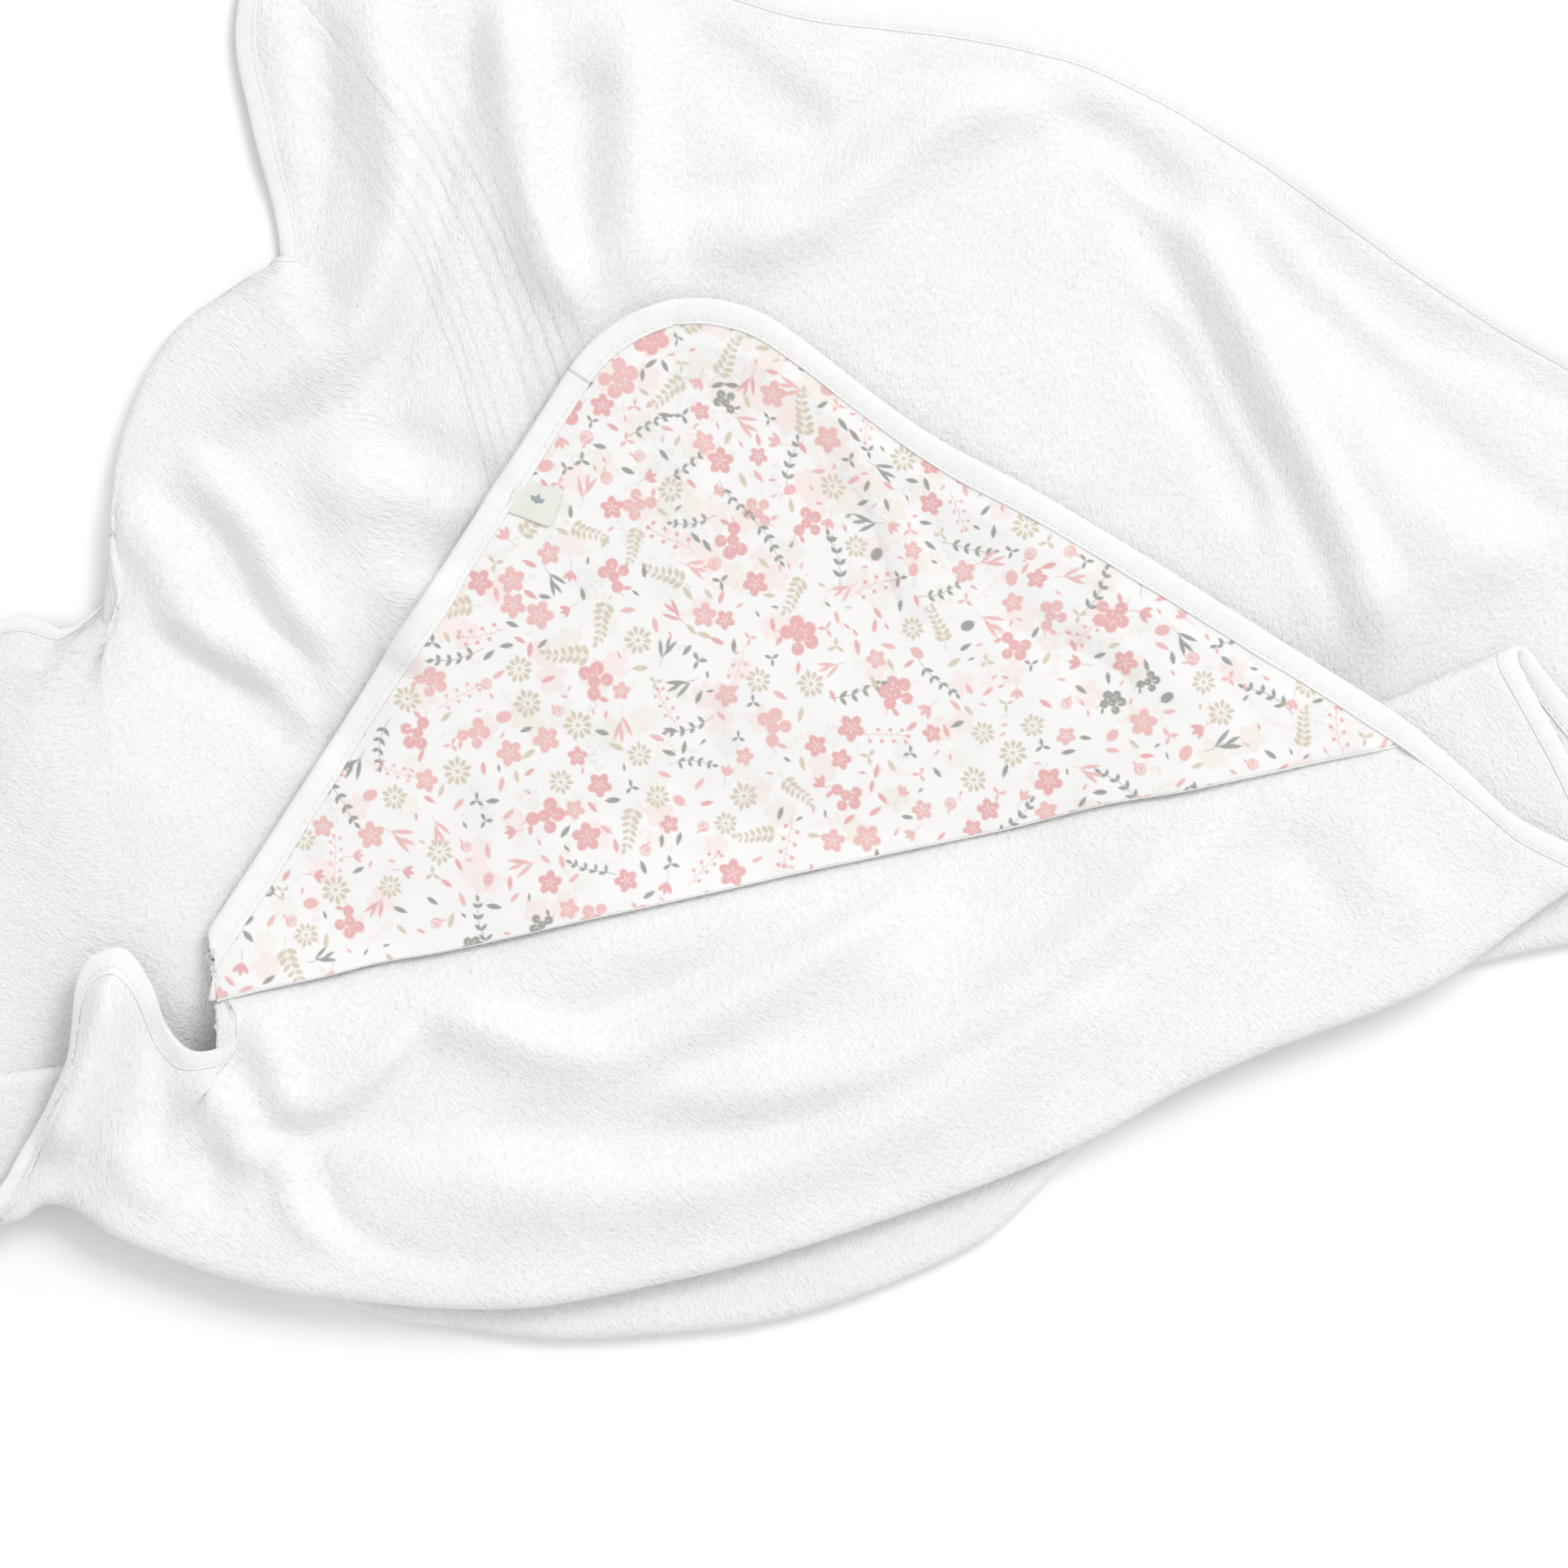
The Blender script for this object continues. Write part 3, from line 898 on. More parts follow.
class Stroke:
    """A small window of the drawing, in millimetres round a motif's middle, turned by an angle."""

    def __init__(self, x, y, angle, reach):
        self.i0 = max(int((y - reach) / PX), 0)
        self.i1 = min(int((y + reach) / PX) + 2, ROWS)
        self.k0 = max(int((x + HOOD_H / MM - reach) / PX), 0)
        self.k1 = min(int((x + HOOD_H / MM + reach) / PX) + 2, COLS)
        yy, xx = np.meshgrid(np.arange(self.i0, self.i1) * PX - y, np.arange(self.k0, self.k1) * PX - HOOD_H / MM - x, indexing="ij")
        c, s = math.cos(angle), math.sin(angle)
        self.x, self.y = xx * c + yy * s, yy * c - xx * s
        self.mask = np.zeros(self.x.shape, np.float32)

    def soft(self, distance):
        return np.clip(0.5 - distance / (PX * 1.1), 0, 1)

    def disc(self, x, y, r):
        self.mask = np.maximum(self.mask, self.soft(np.hypot(self.x - x, self.y - y) - r))

    def hole(self, x, y, r):
        self.mask = np.minimum(self.mask, 1 - self.soft(np.hypot(self.x - x, self.y - y) - r))

    def oval(self, x, y, rx, ry, turn):
        c, s = math.cos(turn), math.sin(turn)
        u, v = (self.x - x) * c + (self.y - y) * s, (self.y - y) * c - (self.x - x) * s
        self.mask = np.maximum(self.mask, self.soft((np.hypot(u / rx, v / ry) - 1) * min(rx, ry)))

    def leaf(self, x0, y0, x1, y1, width, belly=0.45, cut=False):
        vx, vy = x1 - x0, y1 - y0
        length = math.hypot(vx, vy)
        u = ((self.x - x0) * vx + (self.y - y0) * vy) / length**2
        v = np.abs((self.x - x0) * vy - (self.y - y0) * vx) / length
        t = np.clip(u, 0, 1)
        shape = np.sin(math.pi * t ** (math.log(0.5) / math.log(belly))) ** 0.85 * width
        distance = np.where((u < 0) | (u > 1), np.hypot(v, np.minimum(np.abs(u), np.abs(u - 1)) * length), v - shape)
        if cut:
            self.mask = np.minimum(self.mask, 1 - self.soft(distance))
        else:
            self.mask = np.maximum(self.mask, self.soft(distance))

    def stem(self, points, width, cut=False):
        best = np.full(self.x.shape, 1e9)
        for (x0, y0), (x1, y1) in zip(points[:-1], points[1:]):
            vx, vy = x1 - x0, y1 - y0
            f = np.clip(((self.x - x0) * vx + (self.y - y0) * vy) / max(vx * vx + vy * vy, 1e-9), 0, 1)
            best = np.minimum(best, np.hypot(self.x - x0 - f * vx, self.y - y0 - f * vy))
        if cut:
            self.mask = np.minimum(self.mask, 1 - self.soft(best - width / 2))
        else:
            self.mask = np.maximum(self.mask, self.soft(best - width / 2))

    def print_in(self, colour, strength=1.0):
        m = (self.mask * strength)[..., None]
        window = inks[self.i0:self.i1, self.k0:self.k1]
        old = cover[self.i0:self.i1, self.k0:self.k1]
        share = m / np.maximum(m + old[..., None] * (1 - m), 1e-4)
        window[:] = window * (1 - share) + np.array(colour[:3]) * share
        old[:] = np.maximum(old, m[..., 0]) if strength == 1.0 else old + (1 - old) * m[..., 0]


def five_petals(s, r, k):
    for i in range(5):
        a = 2 * math.pi * i / 5 + 0.2 * k
        s.oval(0.58 * r * math.cos(a), 0.58 * r * math.sin(a), 0.46 * r, 0.37 * r, a)
    s.disc(0, 0, 0.30 * r)
    for i in range(5):
        a = 2 * math.pi * i / 5 + 0.2 * k
        s.stem([(0.12 * r * math.cos(a), 0.12 * r * math.sin(a)), (0.48 * r * math.cos(a), 0.48 * r * math.sin(a))], 0.22, cut=True)


def daisy(s, r, k):
    n = 10
    for i in range(n):
        a = 2 * math.pi * i / n + k
        far = r * (1.0 if i % 2 else 0.9)
        s.leaf(0.20 * r * math.cos(a), 0.20 * r * math.sin(a), far * math.cos(a), far * math.sin(a), 0.165 * r, 0.66)
    s.disc(0, 0, 0.16 * r)


def fern(s, r, k):
    line = [(-r + 0.4 * r * t, 0.10 * r * math.sin(1.2 * t)) for t in np.linspace(0, 4.9, 12)]
    s.stem(line, 0.35)
    for i in range(6):
        t = 0.9 + i * 0.66
        x, y = -r + 0.4 * r * t, 0.10 * r * math.sin(1.2 * t)
        size = 0.40 * r * (1 - 0.085 * i)
        for side in (-1, 1):
            a = side * 0.95
            s.oval(x + size * 0.62 * math.cos(a), y + size * 0.62 * math.sin(a), size * 0.5, size * 0.27, a)
    s.oval(0.98 * r, 0.10 * r * math.sin(5.9), 0.16 * r, 0.09 * r, 0)
    s.stem(line[1:], 0.16, cut=True)


def berries(s, r, k):
    spots = ((0, 0), (0.62, 0.16), (0.20, 0.66), (-0.52, 0.40), (-0.28, -0.56), (0.42, -0.50))
    for i, (x, y) in enumerate(spots[: 5 + (k > 3)]):
        s.disc(x * r, y * r, (0.33 + 0.02 * (i % 3)) * r)
    for i, (x, y) in enumerate(spots[: 5 + (k > 3)]):
        s.stem([(x * r, y * r), (0.6 * x * r - 0.1 * r, 0.6 * y * r - 0.1 * r)], 0.16, cut=True)
    s.stem([(-0.3 * r, -0.8 * r), (-0.75 * r, -1.05 * r)], 0.35)
    s.leaf(-0.6 * r, -0.6 * r, -1.15 * r, -0.5 * r, 0.14 * r)


def twig(s, r, k):
    line = [(-r + 2 * r * t, 0.22 * r * math.sin(3.0 * t + k)) for t in np.linspace(0, 1, 10)]
    s.stem(line, 0.30)
    for i in range(1, 5):
        x, y = line[2 * i]
        for side in (-1, 1):
            a = side * 0.8 + 0.2
            size = 0.42 * r * (1 - 0.08 * i)
            s.leaf(x, y, x + size * math.cos(a), y + size * math.sin(a), 0.085 * r)
    x, y = line[-1]
    s.leaf(x, y, x + 0.32 * r, y, 0.08 * r)


def buds(s, r, k):
    line = [(-r + 1.9 * r * t, 0.18 * r * math.sin(2.6 * t + k)) for t in np.linspace(0, 1, 9)]
    s.stem(line, 0.28)
    for i in range(1, 8):
        x, y = line[i]
        a = (0.9 if i % 2 else -0.9)
        ex, ey = x + 0.30 * r * math.cos(a), y + 0.30 * r * math.sin(a)
        s.stem([(x, y), (ex, ey)], 0.22)
        s.disc(ex, ey, 0.085 * r)
    s.disc(*line[-1], 0.095 * r)


def tulip(s, r, k):
    for a, f in ((-0.55, 0.95), (0.0, 1.0), (0.55, 0.95)):
        s.leaf(-0.15 * r, 0, -0.15 * r + r * f * math.cos(a), r * f * math.sin(a), 0.17 * r, 0.6)
    s.stem([(-0.15 * r, 0), (-0.95 * r, 0.14 * r)], 0.30)


def long_leaves(s, r, k):
    s.stem([(-0.9 * r, 0), (0.5 * r, 0.1 * r)], 0.28)
    s.leaf(-0.3 * r, 0.0, 0.9 * r, 0.55 * r, 0.13 * r, 0.5)
    s.leaf(-0.4 * r, 0.0, 0.7 * r, -0.5 * r, 0.12 * r, 0.5)
    s.leaf(0.1 * r, 0.1 * r, 1.0 * r, 0.05 * r, 0.11 * r, 0.5)


def rose(s, r, k):
    s.disc(0, 0, 0.72 * r)
    for q, a0 in ((0.50, 0.3), (0.26, 2.4)):
        arc = [(q * r * math.cos(a0 + t), q * r * math.sin(a0 + t)) for t in np.linspace(0, 4.4, 10)]
        s.stem(arc, 0.26, cut=True)
    s.leaf(0.7 * r, 0, 1.25 * r, 0.4 * r, 0.16 * r)


def single_leaf(s, r, k):
    s.leaf(-r, 0, r, 0.0, 0.36 * r, 0.45)


def single_oval(s, r, k):
    s.oval(0, 0, 0.85 * r, 0.62 * r, 0)
    s.stem([(-0.8 * r, 0), (-1.2 * r, 0.15 * r)], 0.28)


def three_leaves(s, r, k):
    for a in (0.0, 2.2, -2.1):
        s.leaf(0, 0, r * math.cos(a), r * math.sin(a), 0.22 * r, 0.5)


PINK, ROSE, TAUPE, GREY = linear(224, 182, 180), linear(220, 170, 170), linear(205, 195, 177), linear(152, 152, 148)
BLUSH, CREAM, MIST = linear(234, 221, 218), linear(230, 224, 215), linear(224, 223, 221)
placed = []
bins = {}


def room(x, y, r, gap):
    for i in range(int((x - 20) // 12), int((x + 20) // 12) + 1):
        for k in range(int((y - 20) // 12), int((y + 20) // 12) + 1):
            for px, py, pr in bins.get((i, k), ()):
                if math.hypot(px - x, py - y) < (pr + r) * gap:
                    return False
    return True


def scatter(kind, radius, count, colours, gap=0.9, space=None, strength=1.0):
    done = tries = 0
    height = HOOD_H / MM
    while done < count and tries < count * 60:
        tries += 1
        y = dice.uniform(8, height + 2)
        x = dice.uniform(-y, y)
        r = radius * dice.uniform(0.88, 1.12)
        hold = (space or 1.0) * r
        if strength == 1.0 and not room(x, y, hold, gap):
            continue
        if strength == 1.0:
            bins.setdefault((int(x // 12), int(y // 12)), []).append((x, y, hold))
        s = Stroke(x, y, dice.uniform(0, 2 * math.pi), r * 1.45)
        kind(s, r, int(dice.integers(0, 6)))
        s.print_in(colours[int(dice.integers(0, len(colours)))], strength)
        done += 1


scatter(five_petals, 5.0, 150, (BLUSH, BLUSH, CREAM), strength=0.85)
scatter(daisy, 4.6, 60, (CREAM, MIST), strength=0.75)
scatter(twig, 6.6, 110, (CREAM, BLUSH, MIST), strength=0.85)
scatter(single_leaf, 2.0, 160, (BLUSH, CREAM, MIST), strength=0.75)
scatter(fern, 8.6, 24, (TAUPE,), 0.84, 0.74)
scatter(berries, 6.3, 26, (PINK, ROSE), 0.86)
scatter(berries, 4.6, 7, (GREY,), 0.86)
scatter(twig, 8.4, 28, (GREY,), 0.84, 0.62)
scatter(five_petals, 4.5, 34, (PINK, ROSE), 0.92)
scatter(daisy, 4.9, 34, (TAUPE,), 0.92)
scatter(buds, 8.4, 16, (ROSE, PINK), 0.84, 0.66)
scatter(tulip, 4.8, 36, (PINK, ROSE), 0.86, 0.82)
scatter(long_leaves, 6.2, 30, (ROSE, GREY, PINK), 0.84, 0.72)
scatter(rose, 3.0, 22, (PINK,), 0.95)
scatter(single_oval, 3.1, 22, (PINK, PINK, GREY), 0.95)
scatter(five_petals, 3.6, 26, (PINK, ROSE), 0.95)
scatter(three_leaves, 3.0, 60, (GREY, PINK, TAUPE), 0.92)
scatter(single_leaf, 2.6, 230, (GREY, PINK, ROSE, GREY, TAUPE), 0.88)
scatter(single_leaf, 1.5, 160, (PINK, ROSE, GREY), 1.05)


def read_print(d, w):
    i = np.clip(d / MM / PX, 0, ROWS - 1.001)
    k = np.clip((w + HOOD_H) / MM / PX, 0, COLS - 1.001)
    i0, k0 = i.astype(int), k.astype(int)
    fi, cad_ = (i - i0)[:, None], (k - k0)[:, None]
    both = np.concatenate((inks, cover[..., None]), -1)
    return ((both[i0, k0] * (1 - fi) + both[i0 + 1, k0] * fi) * (1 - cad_)
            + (both[i0, k0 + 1] * (1 - fi) + both[i0 + 1, k0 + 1] * fi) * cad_)


# printed face, turned down over the backing's front edge
step = 0.42 * MM
front = HOOD_H - 0.9 * MM
rows = np.concatenate((np.arange(0.02, front - 0.0016, step), front - np.array((1.5, 1.1, 0.75, 0.45, 0.2, 0.0)) * MM))
columns = np.linspace(-HOOD_H, HOOD_H, int(2 * HOOD_H / step) + 1)
d, w, quads, border = masked_grid(rows, columns, lambda dd, ww: inset_of(dd, ww) > 0.0040)
q, below, thick = hood_profile(d, w)
turn = np.clip((front - d) / 0.0016, 0, 1)
dip = (1 - np.sqrt(np.maximum(1 - (1 - turn) ** 2, 0.0))) * 0.75 * MM
hem = 0.22 * MM * np.exp(-(((front - d - 0.0035) / 0.0016) ** 2)) - 0.16 * MM * np.exp(-(((front - d - 0.0075) / 0.0011) ** 2))
base = below + thick + 0.10 * MM - dip
face = slab("hood_print", d, w, quads, border, base, base + FACE_T + hem * smooth((q - 0.008) / 0.01), PRINT)
ink = read_print(d, w)
colour_attribute(face, "Ink", np.concatenate((ink, ink)))
bend_with(face)
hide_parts("hood_print_face")


# ---------------------------------------------------------------- edge binding, folded over the edge all the way round
UP = 1.0 if NORMAL[N // 8, N // 8, 2] > 0 else -1.0


def outline(count):
    """Points of the rounded outline on the flat square, with inward directions and the distance along."""
    run_, arc = SIDE - 2 * CORNER_R, math.pi / 2 * CORNER_R
    total = 4 * (run_ + arc)
    s = np.arange(count) * total / count
    o, inn = np.zeros((count, 2)), np.zeros((count, 2))
    corners = ((SIDE - CORNER_R, CORNER_R), (SIDE - CORNER_R, SIDE - CORNER_R), (CORNER_R, SIDE - CORNER_R), (CORNER_R, CORNER_R))
    starts = ((CORNER_R, 0), (SIDE, CORNER_R), (SIDE - CORNER_R, SIDE), (0, SIDE - CORNER_R))
    ways = ((1, 0), (0, 1), (-1, 0), (0, -1))
    for k in range(4):
        t = s - k * (run_ + arc)
        on = (t >= 0) & (t < run_)
        o[on] = np.array(starts[k]) + t[on, None] * np.array(ways[k])
        inn[on] = (-ways[k][1], ways[k][0])
        on = (t >= run_) & (t < run_ + arc)
        a = (t[on] - run_) / CORNER_R + (k - 1) * math.pi / 2
        radial = np.stack((np.cos(a), np.sin(a)), 1)
        o[on] = np.array(corners[k]) + CORNER_R * radial
        inn[on] = -radial
    return o, inn, s, total


def edge_point(o, inn, q):
    ab = o + inn * np.asarray(q)[..., None]
    return sample(P, ab[:, 0], ab[:, 1]), unit(sample(NORMAL, ab[:, 0], ab[:, 1])) * UP


TAPE_N = 2140
O, INN, S, AROUND = outline(TAPE_N)
ab4 = O + INN * 0.004
d4 = (ab4[:, 0] + ab4[:, 1]) / math.sqrt(2)
hooded = smooth((HOOD_H + 0.0045 - d4) / 0.006)
soft_edge = 0.05 * MM * noise2(S, 0 * S, 0.004, 51) + 0.06 * MM * noise2(S, 0 * S + 1, 0.011, 52)
H_TOP = (1.30 + 1.42 * hooded) * MM + soft_edge
H_LOW = np.full(TAPE_N, 1.30 * MM)
wobble = 0.22 * MM * noise2(S, 0 * S + 2, 0.013, 53)
# a pucker at every stitch hole
PITCH = AROUND / round(AROUND / 0.0030)
sink = 0.10 * MM * (0.5 + 0.5 * np.cos(2 * math.pi * S / PITCH))


def tape_point(q, h, keep=0.0):
    p, n = edge_point(O, INN, q * MM + wobble * (q > 5))
    return p + n * np.asarray(h)[..., None]


loop = []
for q, drop in ((8.15, 0.44), (8.05, 0.16), (7.7, 0.02), (7.2, 0.0)):
    loop.append(tape_point(q, H_TOP - drop * MM))
loop.append(tape_point(6.55, H_TOP - 0.20 * MM - sink))
for q, drop in ((5.9, 0.0), (4.6, -0.05), (2.8, -0.02), (1.6, 0.06)):
    loop.append(tape_point(q, H_TOP - drop * MM))
p06, n06 = edge_point(O, INN, np.full(TAPE_N, 0.8 * MM))
p_out, _ = edge_point(O, INN, np.full(TAPE_N, 0.0))
p_in, _ = edge_point(O, INN, np.full(TAPE_N, 2.4 * MM))
out_way = p_out - p_in
out_way = unit(out_way - n06 * np.sum(out_way * n06, -1, keepdims=True))
mid = ((H_TOP - H_LOW) / 2)[:, None]
rad = ((H_TOP + H_LOW) / 2 - 0.04 * MM)[:, None]
for a in (62, 36, 12, -12, -36, -62):
    c, s_ = math.cos(math.radians(a)), math.sin(math.radians(a))
    loop.append(p06 + out_way * c * 1.55 * MM + n06 * (mid + rad * s_))
for q, drop in ((1.6, 0.06), (2.8, -0.02), (4.6, -0.05), (5.9, 0.0)):
    loop.append(tape_point(q, -(H_LOW - drop * MM)))
loop.append(tape_point(6.55, -(H_LOW - 0.20 * MM - sink)))
for q, drop in ((7.2, 0.0), (7.7, 0.02), (8.05, 0.16), (8.15, 0.44)):
    loop.append(tape_point(q, -(H_LOW - drop * MM)))
for q in (7.4, 4.6, 1.6):
    loop.append(tape_point(q, -(H_LOW - 0.46 * MM)))
for a in (-50, 0, 50):
    c, s_ = math.cos(math.radians(a)), math.sin(math.radians(a))
    loop.append(p06 + out_way * c * 0.95 * MM + n06 * (mid + (rad - 0.5 * MM) * s_))
for q in (1.6, 4.6, 7.4):
    loop.append(tape_point(q, H_TOP - 0.46 * MM))
loop = np.stack(loop, 1)
M = loop.shape[1]
loop[..., 2] = np.maximum(loop[..., 2], 0.00002)
faces_tape = strip_faces(TAPE_N, M)
tape = new_object("edge_tape", loop, faces_tape, TAPE)


def outward(obj):
    """Turns the faces of a closed piece outwards."""
    mesh = obj.data
    n = len(mesh.vertices)
    co = np.empty(n * 3)
    mesh.vertices.foreach_get("co", co)
    co = co.reshape(-1, 3)
    mesh.calc_loop_triangles()
    tri = np.empty(len(mesh.loop_triangles) * 3, np.int32)
    mesh.loop_triangles.foreach_get("vertices", tri)
    t = co[tri.reshape(-1, 3)]
    if np.einsum("ij,ij->i", t[:, 0], np.cross(t[:, 1], t[:, 2])).sum() < 0:
        mesh.flip_normals()


outward(tape)
across = np.concatenate(([0.0], np.cumsum(np.linalg.norm(np.diff(loop[0], axis=0), axis=1))))
flat_tape = np.stack((np.repeat(S[:, None], M, 1), np.repeat(across[None], TAPE_N, 0), np.zeros((TAPE_N, M))), -1)
vector_attribute(tape, "Flat", flat_tape)
bake_map(tape, np.stack(((S[:, None] % (AROUND / 8)) / (AROUND / 8) * 0.98 + 0 * across, (np.floor(S / (AROUND / 8))[:, None] + across / across[-1] * 0.94) / 8), -1).reshape(-1, 2))
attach(tape, "towel")
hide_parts("edge_binding")


def stitches(name, q, height, first=0, last=None, stretch=0.80):
    """A row of lock stitches: one short rounded thread for each, dipping into the tape at both ends."""
    total = int(round(AROUND / PITCH))
    ids = np.arange(total)
    steps = np.array((0.0, 0.10, 0.32, 0.5, 0.68, 0.90, 1.0))
    girth = np.array((0.10, 0.75, 1.0, 1.0, 1.0, 0.75, 0.10)) * 0.24 * MM
    rise = np.array((-0.16, 0.02, 0.14, 0.16, 0.14, 0.02, -0.16)) * MM
    s = ((ids[:, None] + 0.5 + (steps[None] - 0.5) * stretch) * PITCH) % AROUND
    k = s / AROUND * TAPE_N
    i0 = np.floor(k).astype(int) % TAPE_N
    i1 = (i0 + 1) % TAPE_N
    f = (k - np.floor(k))[..., None]
    line_, up_ = edge_point(O, INN, np.full(TAPE_N, q))
    line_ = line_ + up_ * height[:, None]
    sign = 1.0 if height[0] > 0 else -1.0
    p = line_[i0] * (1 - f) + line_[i1] * f
    n = unit(up_[i0] * (1 - f) + up_[i1] * f) * sign
    p = p + n * rise[None, :, None]
    along = unit(np.gradient(p, axis=1))
    side = np.cross(along, n)
    ring_ = np.arange(6) / 6 * 2 * math.pi
    pts = p[:, :, None] + girth[None, :, None, None] * (np.cos(ring_)[None, None, :, None] * side[:, :, None] + np.sin(ring_)[None, None, :, None] * n[:, :, None])
    base = (np.arange(total) * 42)[:, None]
    one = strip_faces(7, 6, close_u=False)
    quads_ = (base[:, :, None] + one[None]).reshape(-1, 4)
    caps = np.concatenate((base + np.arange(6)[None, ::-1], base + 36 + np.arange(6)[None]))
    obj = new_object(name, pts, [quads_, caps], THREAD)
    outward(obj)
    vector_attribute(obj, "Flat", np.repeat(np.stack((s, 0 * s, 0 * s), -1)[:, :, None], 6, 2))
    return obj


top_row = stitches("tape_stitches_upper", 6.55 * MM, H_TOP - 0.16 * MM)
low_row = stitches("tape_stitches_lower", 6.55 * MM, -(H_LOW - 0.16 * MM))
for row_ in (top_row, low_row):
    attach(row_, "towel")
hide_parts("hood_seam_stitching")


# ---------------------------------------------------------------- labels
def tab_surface(length, width, radius, nu, nv):
    """u along the tab, v across it, with rounded free corners."""
    u = np.linspace(0, length, nu)
    u = np.concatenate((u[:-1], np.linspace(u[-2], length, 6)[1:]))
    v = np.linspace(-1, 1, nv)
    t = np.clip((u - (length - radius)) / radius, 0, 1)
    half = width / 2 - radius + radius * np.sqrt(np.maximum(1 - t * t, 0.0))
    uu = np.repeat(u[:, None], nv, 1)
    vv = half[:, None] * v[None]
    return uu, vv


def tab_object(name, top, bottom, uu, vv, material):
    nu, nv = uu.shape
    ids = np.arange(nu * nv).reshape(nu, nv)
    quads_ = np.stack((ids[:-1, :-1], ids[1:, :-1], ids[1:, 1:], ids[:-1, 1:]), -1).reshape(-1, 4)
    edge = np.concatenate((ids[:-1, 0], ids[-1, :-1], ids[:0:-1, -1], ids[0, :0:-1]))
    nxt_ = np.roll(edge, -1)
    walls = np.stack((edge, edge + nu * nv, nxt_ + nu * nv, nxt_), -1)
    faces_ = np.concatenate((quads_, quads_[:, ::-1] + nu * nv, walls))
    obj = new_object(name, np.concatenate((top.reshape(-1, 3), bottom.reshape(-1, 3))), faces_, material)
    outward(obj)
    f = np.stack((uu, vv, 0 * uu), -1).reshape(-1, 3)
    vector_attribute(obj, "Flat", np.concatenate((f, f + (0, 0, 0.05))))
    span = max(uu.max(), 1e-6)
    m = np.stack((uu / span * 0.46 + 0.02, (vv / (2 * np.abs(vv).max()) + 0.5) * 0.96 + 0.02), -1).reshape(-1, 2)
    bake_map(obj, np.concatenate((m, m + (0.5, 0))))
    return obj


def hood_top(xy):
    """Height of the print's surface over a point of the table plane near the hood."""
    p = xy - SHIFT - HOOD_CORNER
    d_, w_ = p @ AXIS_D, p @ AXIS_W
    for _ in range(3):
        q_, below_, thick_ = hood_profile(d_, w_)
        got = hood_sheet(d_, w_, below_ + thick_ + 0.10 * MM + FACE_T)
        miss = xy - got[..., :2]
        d_, w_ = d_ + miss @ AXIS_D, w_ + miss @ AXIS_W
    return got[..., 2]


TAB_AT = np.array((-73.0, 24.7)) * MM + SHIFT
TAB_DIR = unit(np.array((0.94, -0.34)))
TAB_SIDE = np.array((-TAB_DIR[1], TAB_DIR[0]))
uu, vv = tab_surface(0.0165, 0.0130, 0.0016, 22, 21)
xy = TAB_AT + (uu[..., None] - 0.002) * TAB_DIR + vv[..., None] * TAB_SIDE
z = hood_top(xy)
z = np.maximum(z, z.mean() - 0.0004) + 0.50 * MM + 0.55 * MM * smooth((uu - 0.006) / 0.010) + 0.10 * MM * np.cos(vv / 0.0065 * 2.2)
ridge = 0.05 * MM * (np.abs(np.abs(vv) - 0.0057) < 0.0005)
top = np.concatenate((xy, (z + ridge)[..., None]), -1)
bottom = np.concatenate((xy, (z - 0.42 * MM)[..., None]), -1)
tab = tab_object("woven_tab", top, bottom, uu, vv, LABEL)
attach(tab, "label_tab")
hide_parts("brand_label")


# a plain sprig of three leaves, woven in the middle of the tab
def on_tab(x, y):
    iu = np.interp(x, uu[:, 0], np.arange(uu.shape[0]))
    half = np.interp(x, uu[:, 0], vv[:, -1])
    iv = (y / half + 1) / 2 * (vv.shape[1] - 1)
    i0, k0 = np.clip(iu.astype(int), 0, uu.shape[0] - 2), np.clip(iv.astype(int), 0, vv.shape[1] - 2)
    a, b = (iu - i0)[..., None], (iv - k0)[..., None]
    return (top[i0, k0] * (1 - a) + top[i0 + 1, k0] * a) * (1 - b) + (top[i0, k0 + 1] * (1 - a) + top[i0 + 1, k0 + 1] * a) * b


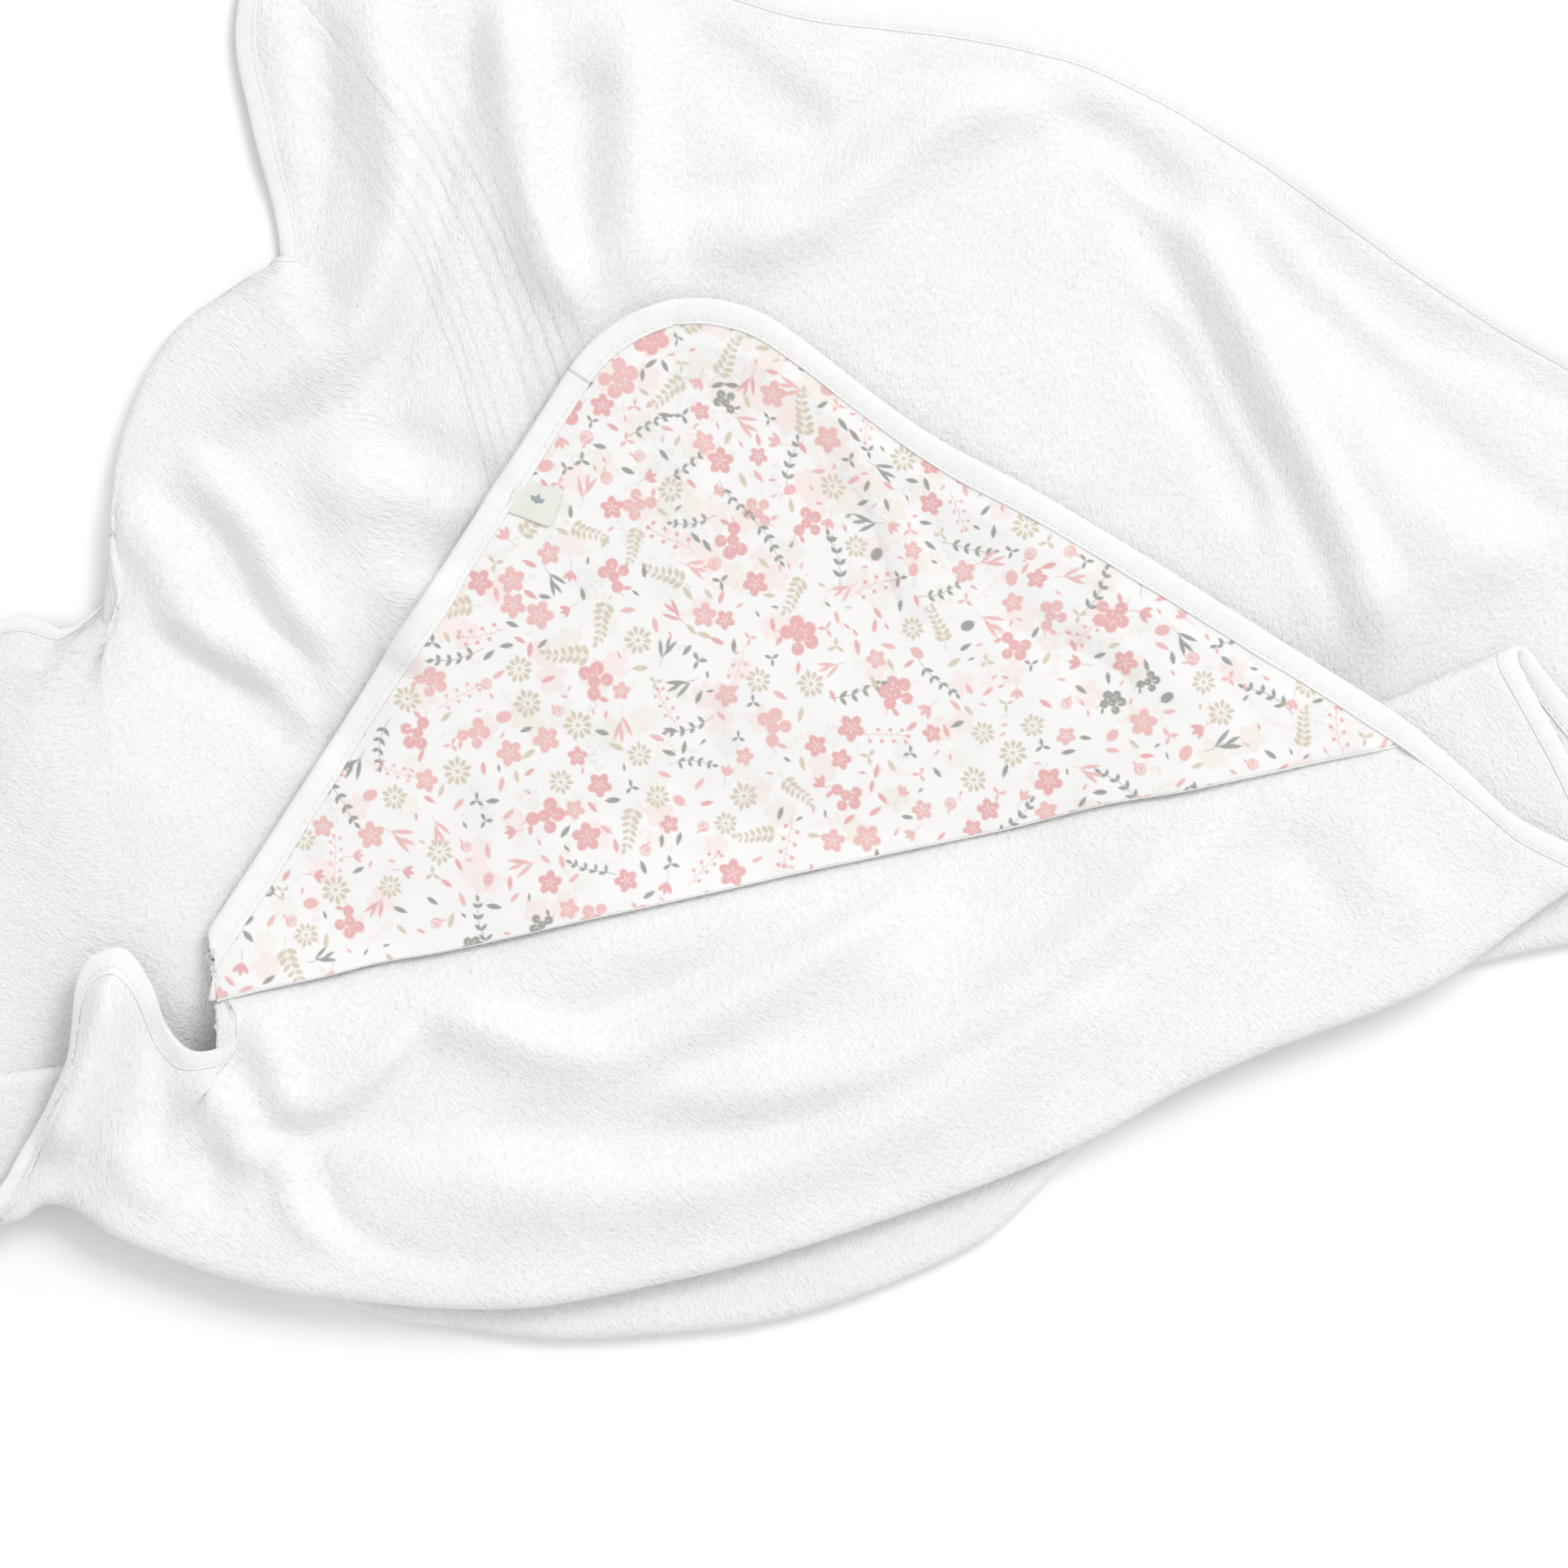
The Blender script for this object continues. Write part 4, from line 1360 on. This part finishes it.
verts, faces_, flats = [], [], []
for cx, cy, angle, length, width in ((0.0090, -0.0003, 1.57, 0.0034, 0.0010), (0.0094, 0.0004, 0.62, 0.0026, 0.0008), (0.0086, 0.0004, 2.52, 0.0026, 0.0008)):
    ts = np.linspace(0, 1, 11)
    rows_ = []
    for t in ts:
        half = width * math.sin(math.pi * min(max(t, 0.02), 0.98) ** 0.8)
        rows_.append([(t * length, s_ * half) for s_ in (-1, -0.5, 0, 0.5, 1)])
    g = np.array(rows_)
    x = cx + g[..., 0] * math.cos(angle) - g[..., 1] * math.sin(angle)
    y = cy + g[..., 0] * math.sin(angle) + g[..., 1] * math.cos(angle)
    base = on_tab(x, y)
    domed = 0.10 * MM + 0.10 * MM * (1 - (np.abs(g[..., 1]) / np.maximum(np.abs(g[..., 1]).max(1, keepdims=True), 1e-6)) ** 2)
    groove = 0.05 * MM * (np.arange(5)[None] == 2)
    hi = base + np.array((0, 0, 1.0)) * (domed - groove)[..., None]
    lo = base - np.array((0, 0, 1.0)) * 0.05 * MM
    n0 = len(verts) and sum(len(v) for v in verts)
    ids = np.arange(55).reshape(11, 5)
    q_ = np.stack((ids[:-1, :-1], ids[1:, :-1], ids[1:, 1:], ids[:-1, 1:]), -1).reshape(-1, 4)
    e_ = np.concatenate((ids[:-1, 0], ids[-1, :-1], ids[:0:-1, -1], ids[0, :0:-1]))
    nx = np.roll(e_, -1)
    w_ = np.stack((e_, e_ + 55, nx + 55, nx), -1)
    faces_.append(np.concatenate((q_, q_[:, ::-1] + 55, w_)) + n0)
    verts.append(np.concatenate((hi.reshape(-1, 3), lo.reshape(-1, 3))))
    flats.append(np.concatenate((g.reshape(-1, 2), g.reshape(-1, 2))))
mark = new_object("woven_sprig", np.concatenate(verts), np.concatenate(faces_), MARK)
outward(mark)
vector_attribute(mark, "Flat", np.concatenate((np.concatenate(flats), np.zeros((len(np.concatenate(flats)), 1))), 1))
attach(mark, "label_tab")
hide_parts("label_mark")

# care label, sewn under the tape at the far right edge and lying on the towel
CARE_W = 0.452
care_a = (2 * HALF - 2 * CARE_W) / math.sqrt(2)
uu, vv = tab_surface(0.0415, 0.0280, 0.0015, 40, 27)
here, near_ = np.array((care_a,)), np.array((SIDE - 0.02,))
ease_a = np.linalg.norm(sample(P, here + 0.012, near_) - sample(P, here - 0.012, near_)) / 0.024
ease_b = np.linalg.norm(sample(P, here, near_ - 0.024) - sample(P, here, near_)) / 0.024
pa, pb = care_a + vv / ease_a, SIDE - 0.0075 - uu / ease_b
pos, nrm = sample(P, pa, pb), unit(sample(NORMAL, pa, pb))
nrm = nrm * np.where(nrm[..., 2:3] < 0, -1.0, 1.0)
h = 1.05 * MM + 0.75 * MM * smooth(uu / 0.006) + 0.9 * MM * smooth((uu - 0.012) / 0.028) + 0.25 * MM * np.sin(vv / 0.0085)
top = pos + nrm * (h + 0.15 * MM)[..., None]
bottom = pos + nrm * (h - 0.15 * MM)[..., None]
care = tab_object("care_tab_label", top, bottom, uu, vv, CARE)
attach(care, "care_tab")
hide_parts("care_label")


# ---------------------------------------------------------------- floor, light and camera
def plain(name, colour, roughness):
    material = bpy.data.materials.new(name)
    material.use_nodes = True
    shader = material.node_tree.nodes["Principled BSDF"]
    shader.inputs["Base Color"].default_value = colour
    shader.inputs["Roughness"].default_value = roughness
    shader.inputs["Specular IOR Level"].default_value = 0.1
    return material


floor = new_object("floor", [(-6, -6, -0.0004), (6, -6, -0.0004), (6, 6, -0.0004), (-6, 6, -0.0004)], np.array([(0, 1, 2, 3)]), plain("floor_white", (0.93, 0.93, 0.93, 1), 0.9), False)

world = bpy.data.worlds.new("studio")
bpy.context.scene.world = world
world.use_nodes = True
world.node_tree.nodes["Background"].inputs["Color"].default_value = (1.0, 1.0, 1.0, 1)
world.node_tree.nodes["Background"].inputs["Strength"].default_value = 0.83


def area_light(name, at_, target, size, power):
    data = bpy.data.lights.new(name, "AREA")
    data.shape = "SQUARE"
    data.size = size
    data.energy = power
    obj = bpy.data.objects.new(name, data)
    bpy.context.scene.collection.objects.link(obj)
    obj.location = at_
    obj.rotation_euler = (Vector(target) - Vector(at_)).to_track_quat("-Z", "Y").to_euler()
    return obj


area_light("key", (2.0, 2.2, 3.8), (0.05, -0.03, 0.0), 1.9, 96.0)
bpy.context.scene.view_settings.view_transform = "Standard"
bpy.context.scene.view_settings.look = "None"

CENTRE = (0.0546, -0.0544)
WIDE = 0.5367
camera_data = bpy.data.cameras.new("camera")
camera_data.sensor_width = 36.0
height = 2.6
camera_data.lens = 36.0 * height / WIDE
camera_data.clip_start = 0.05
camera_data.clip_end = 30.0
camera = bpy.data.objects.new("camera", camera_data)
bpy.context.scene.collection.objects.link(camera)
camera.location = (CENTRE[0], CENTRE[1], height + 0.012)
camera.rotation_euler = (0, 0, 0)
bpy.context.scene.camera = camera
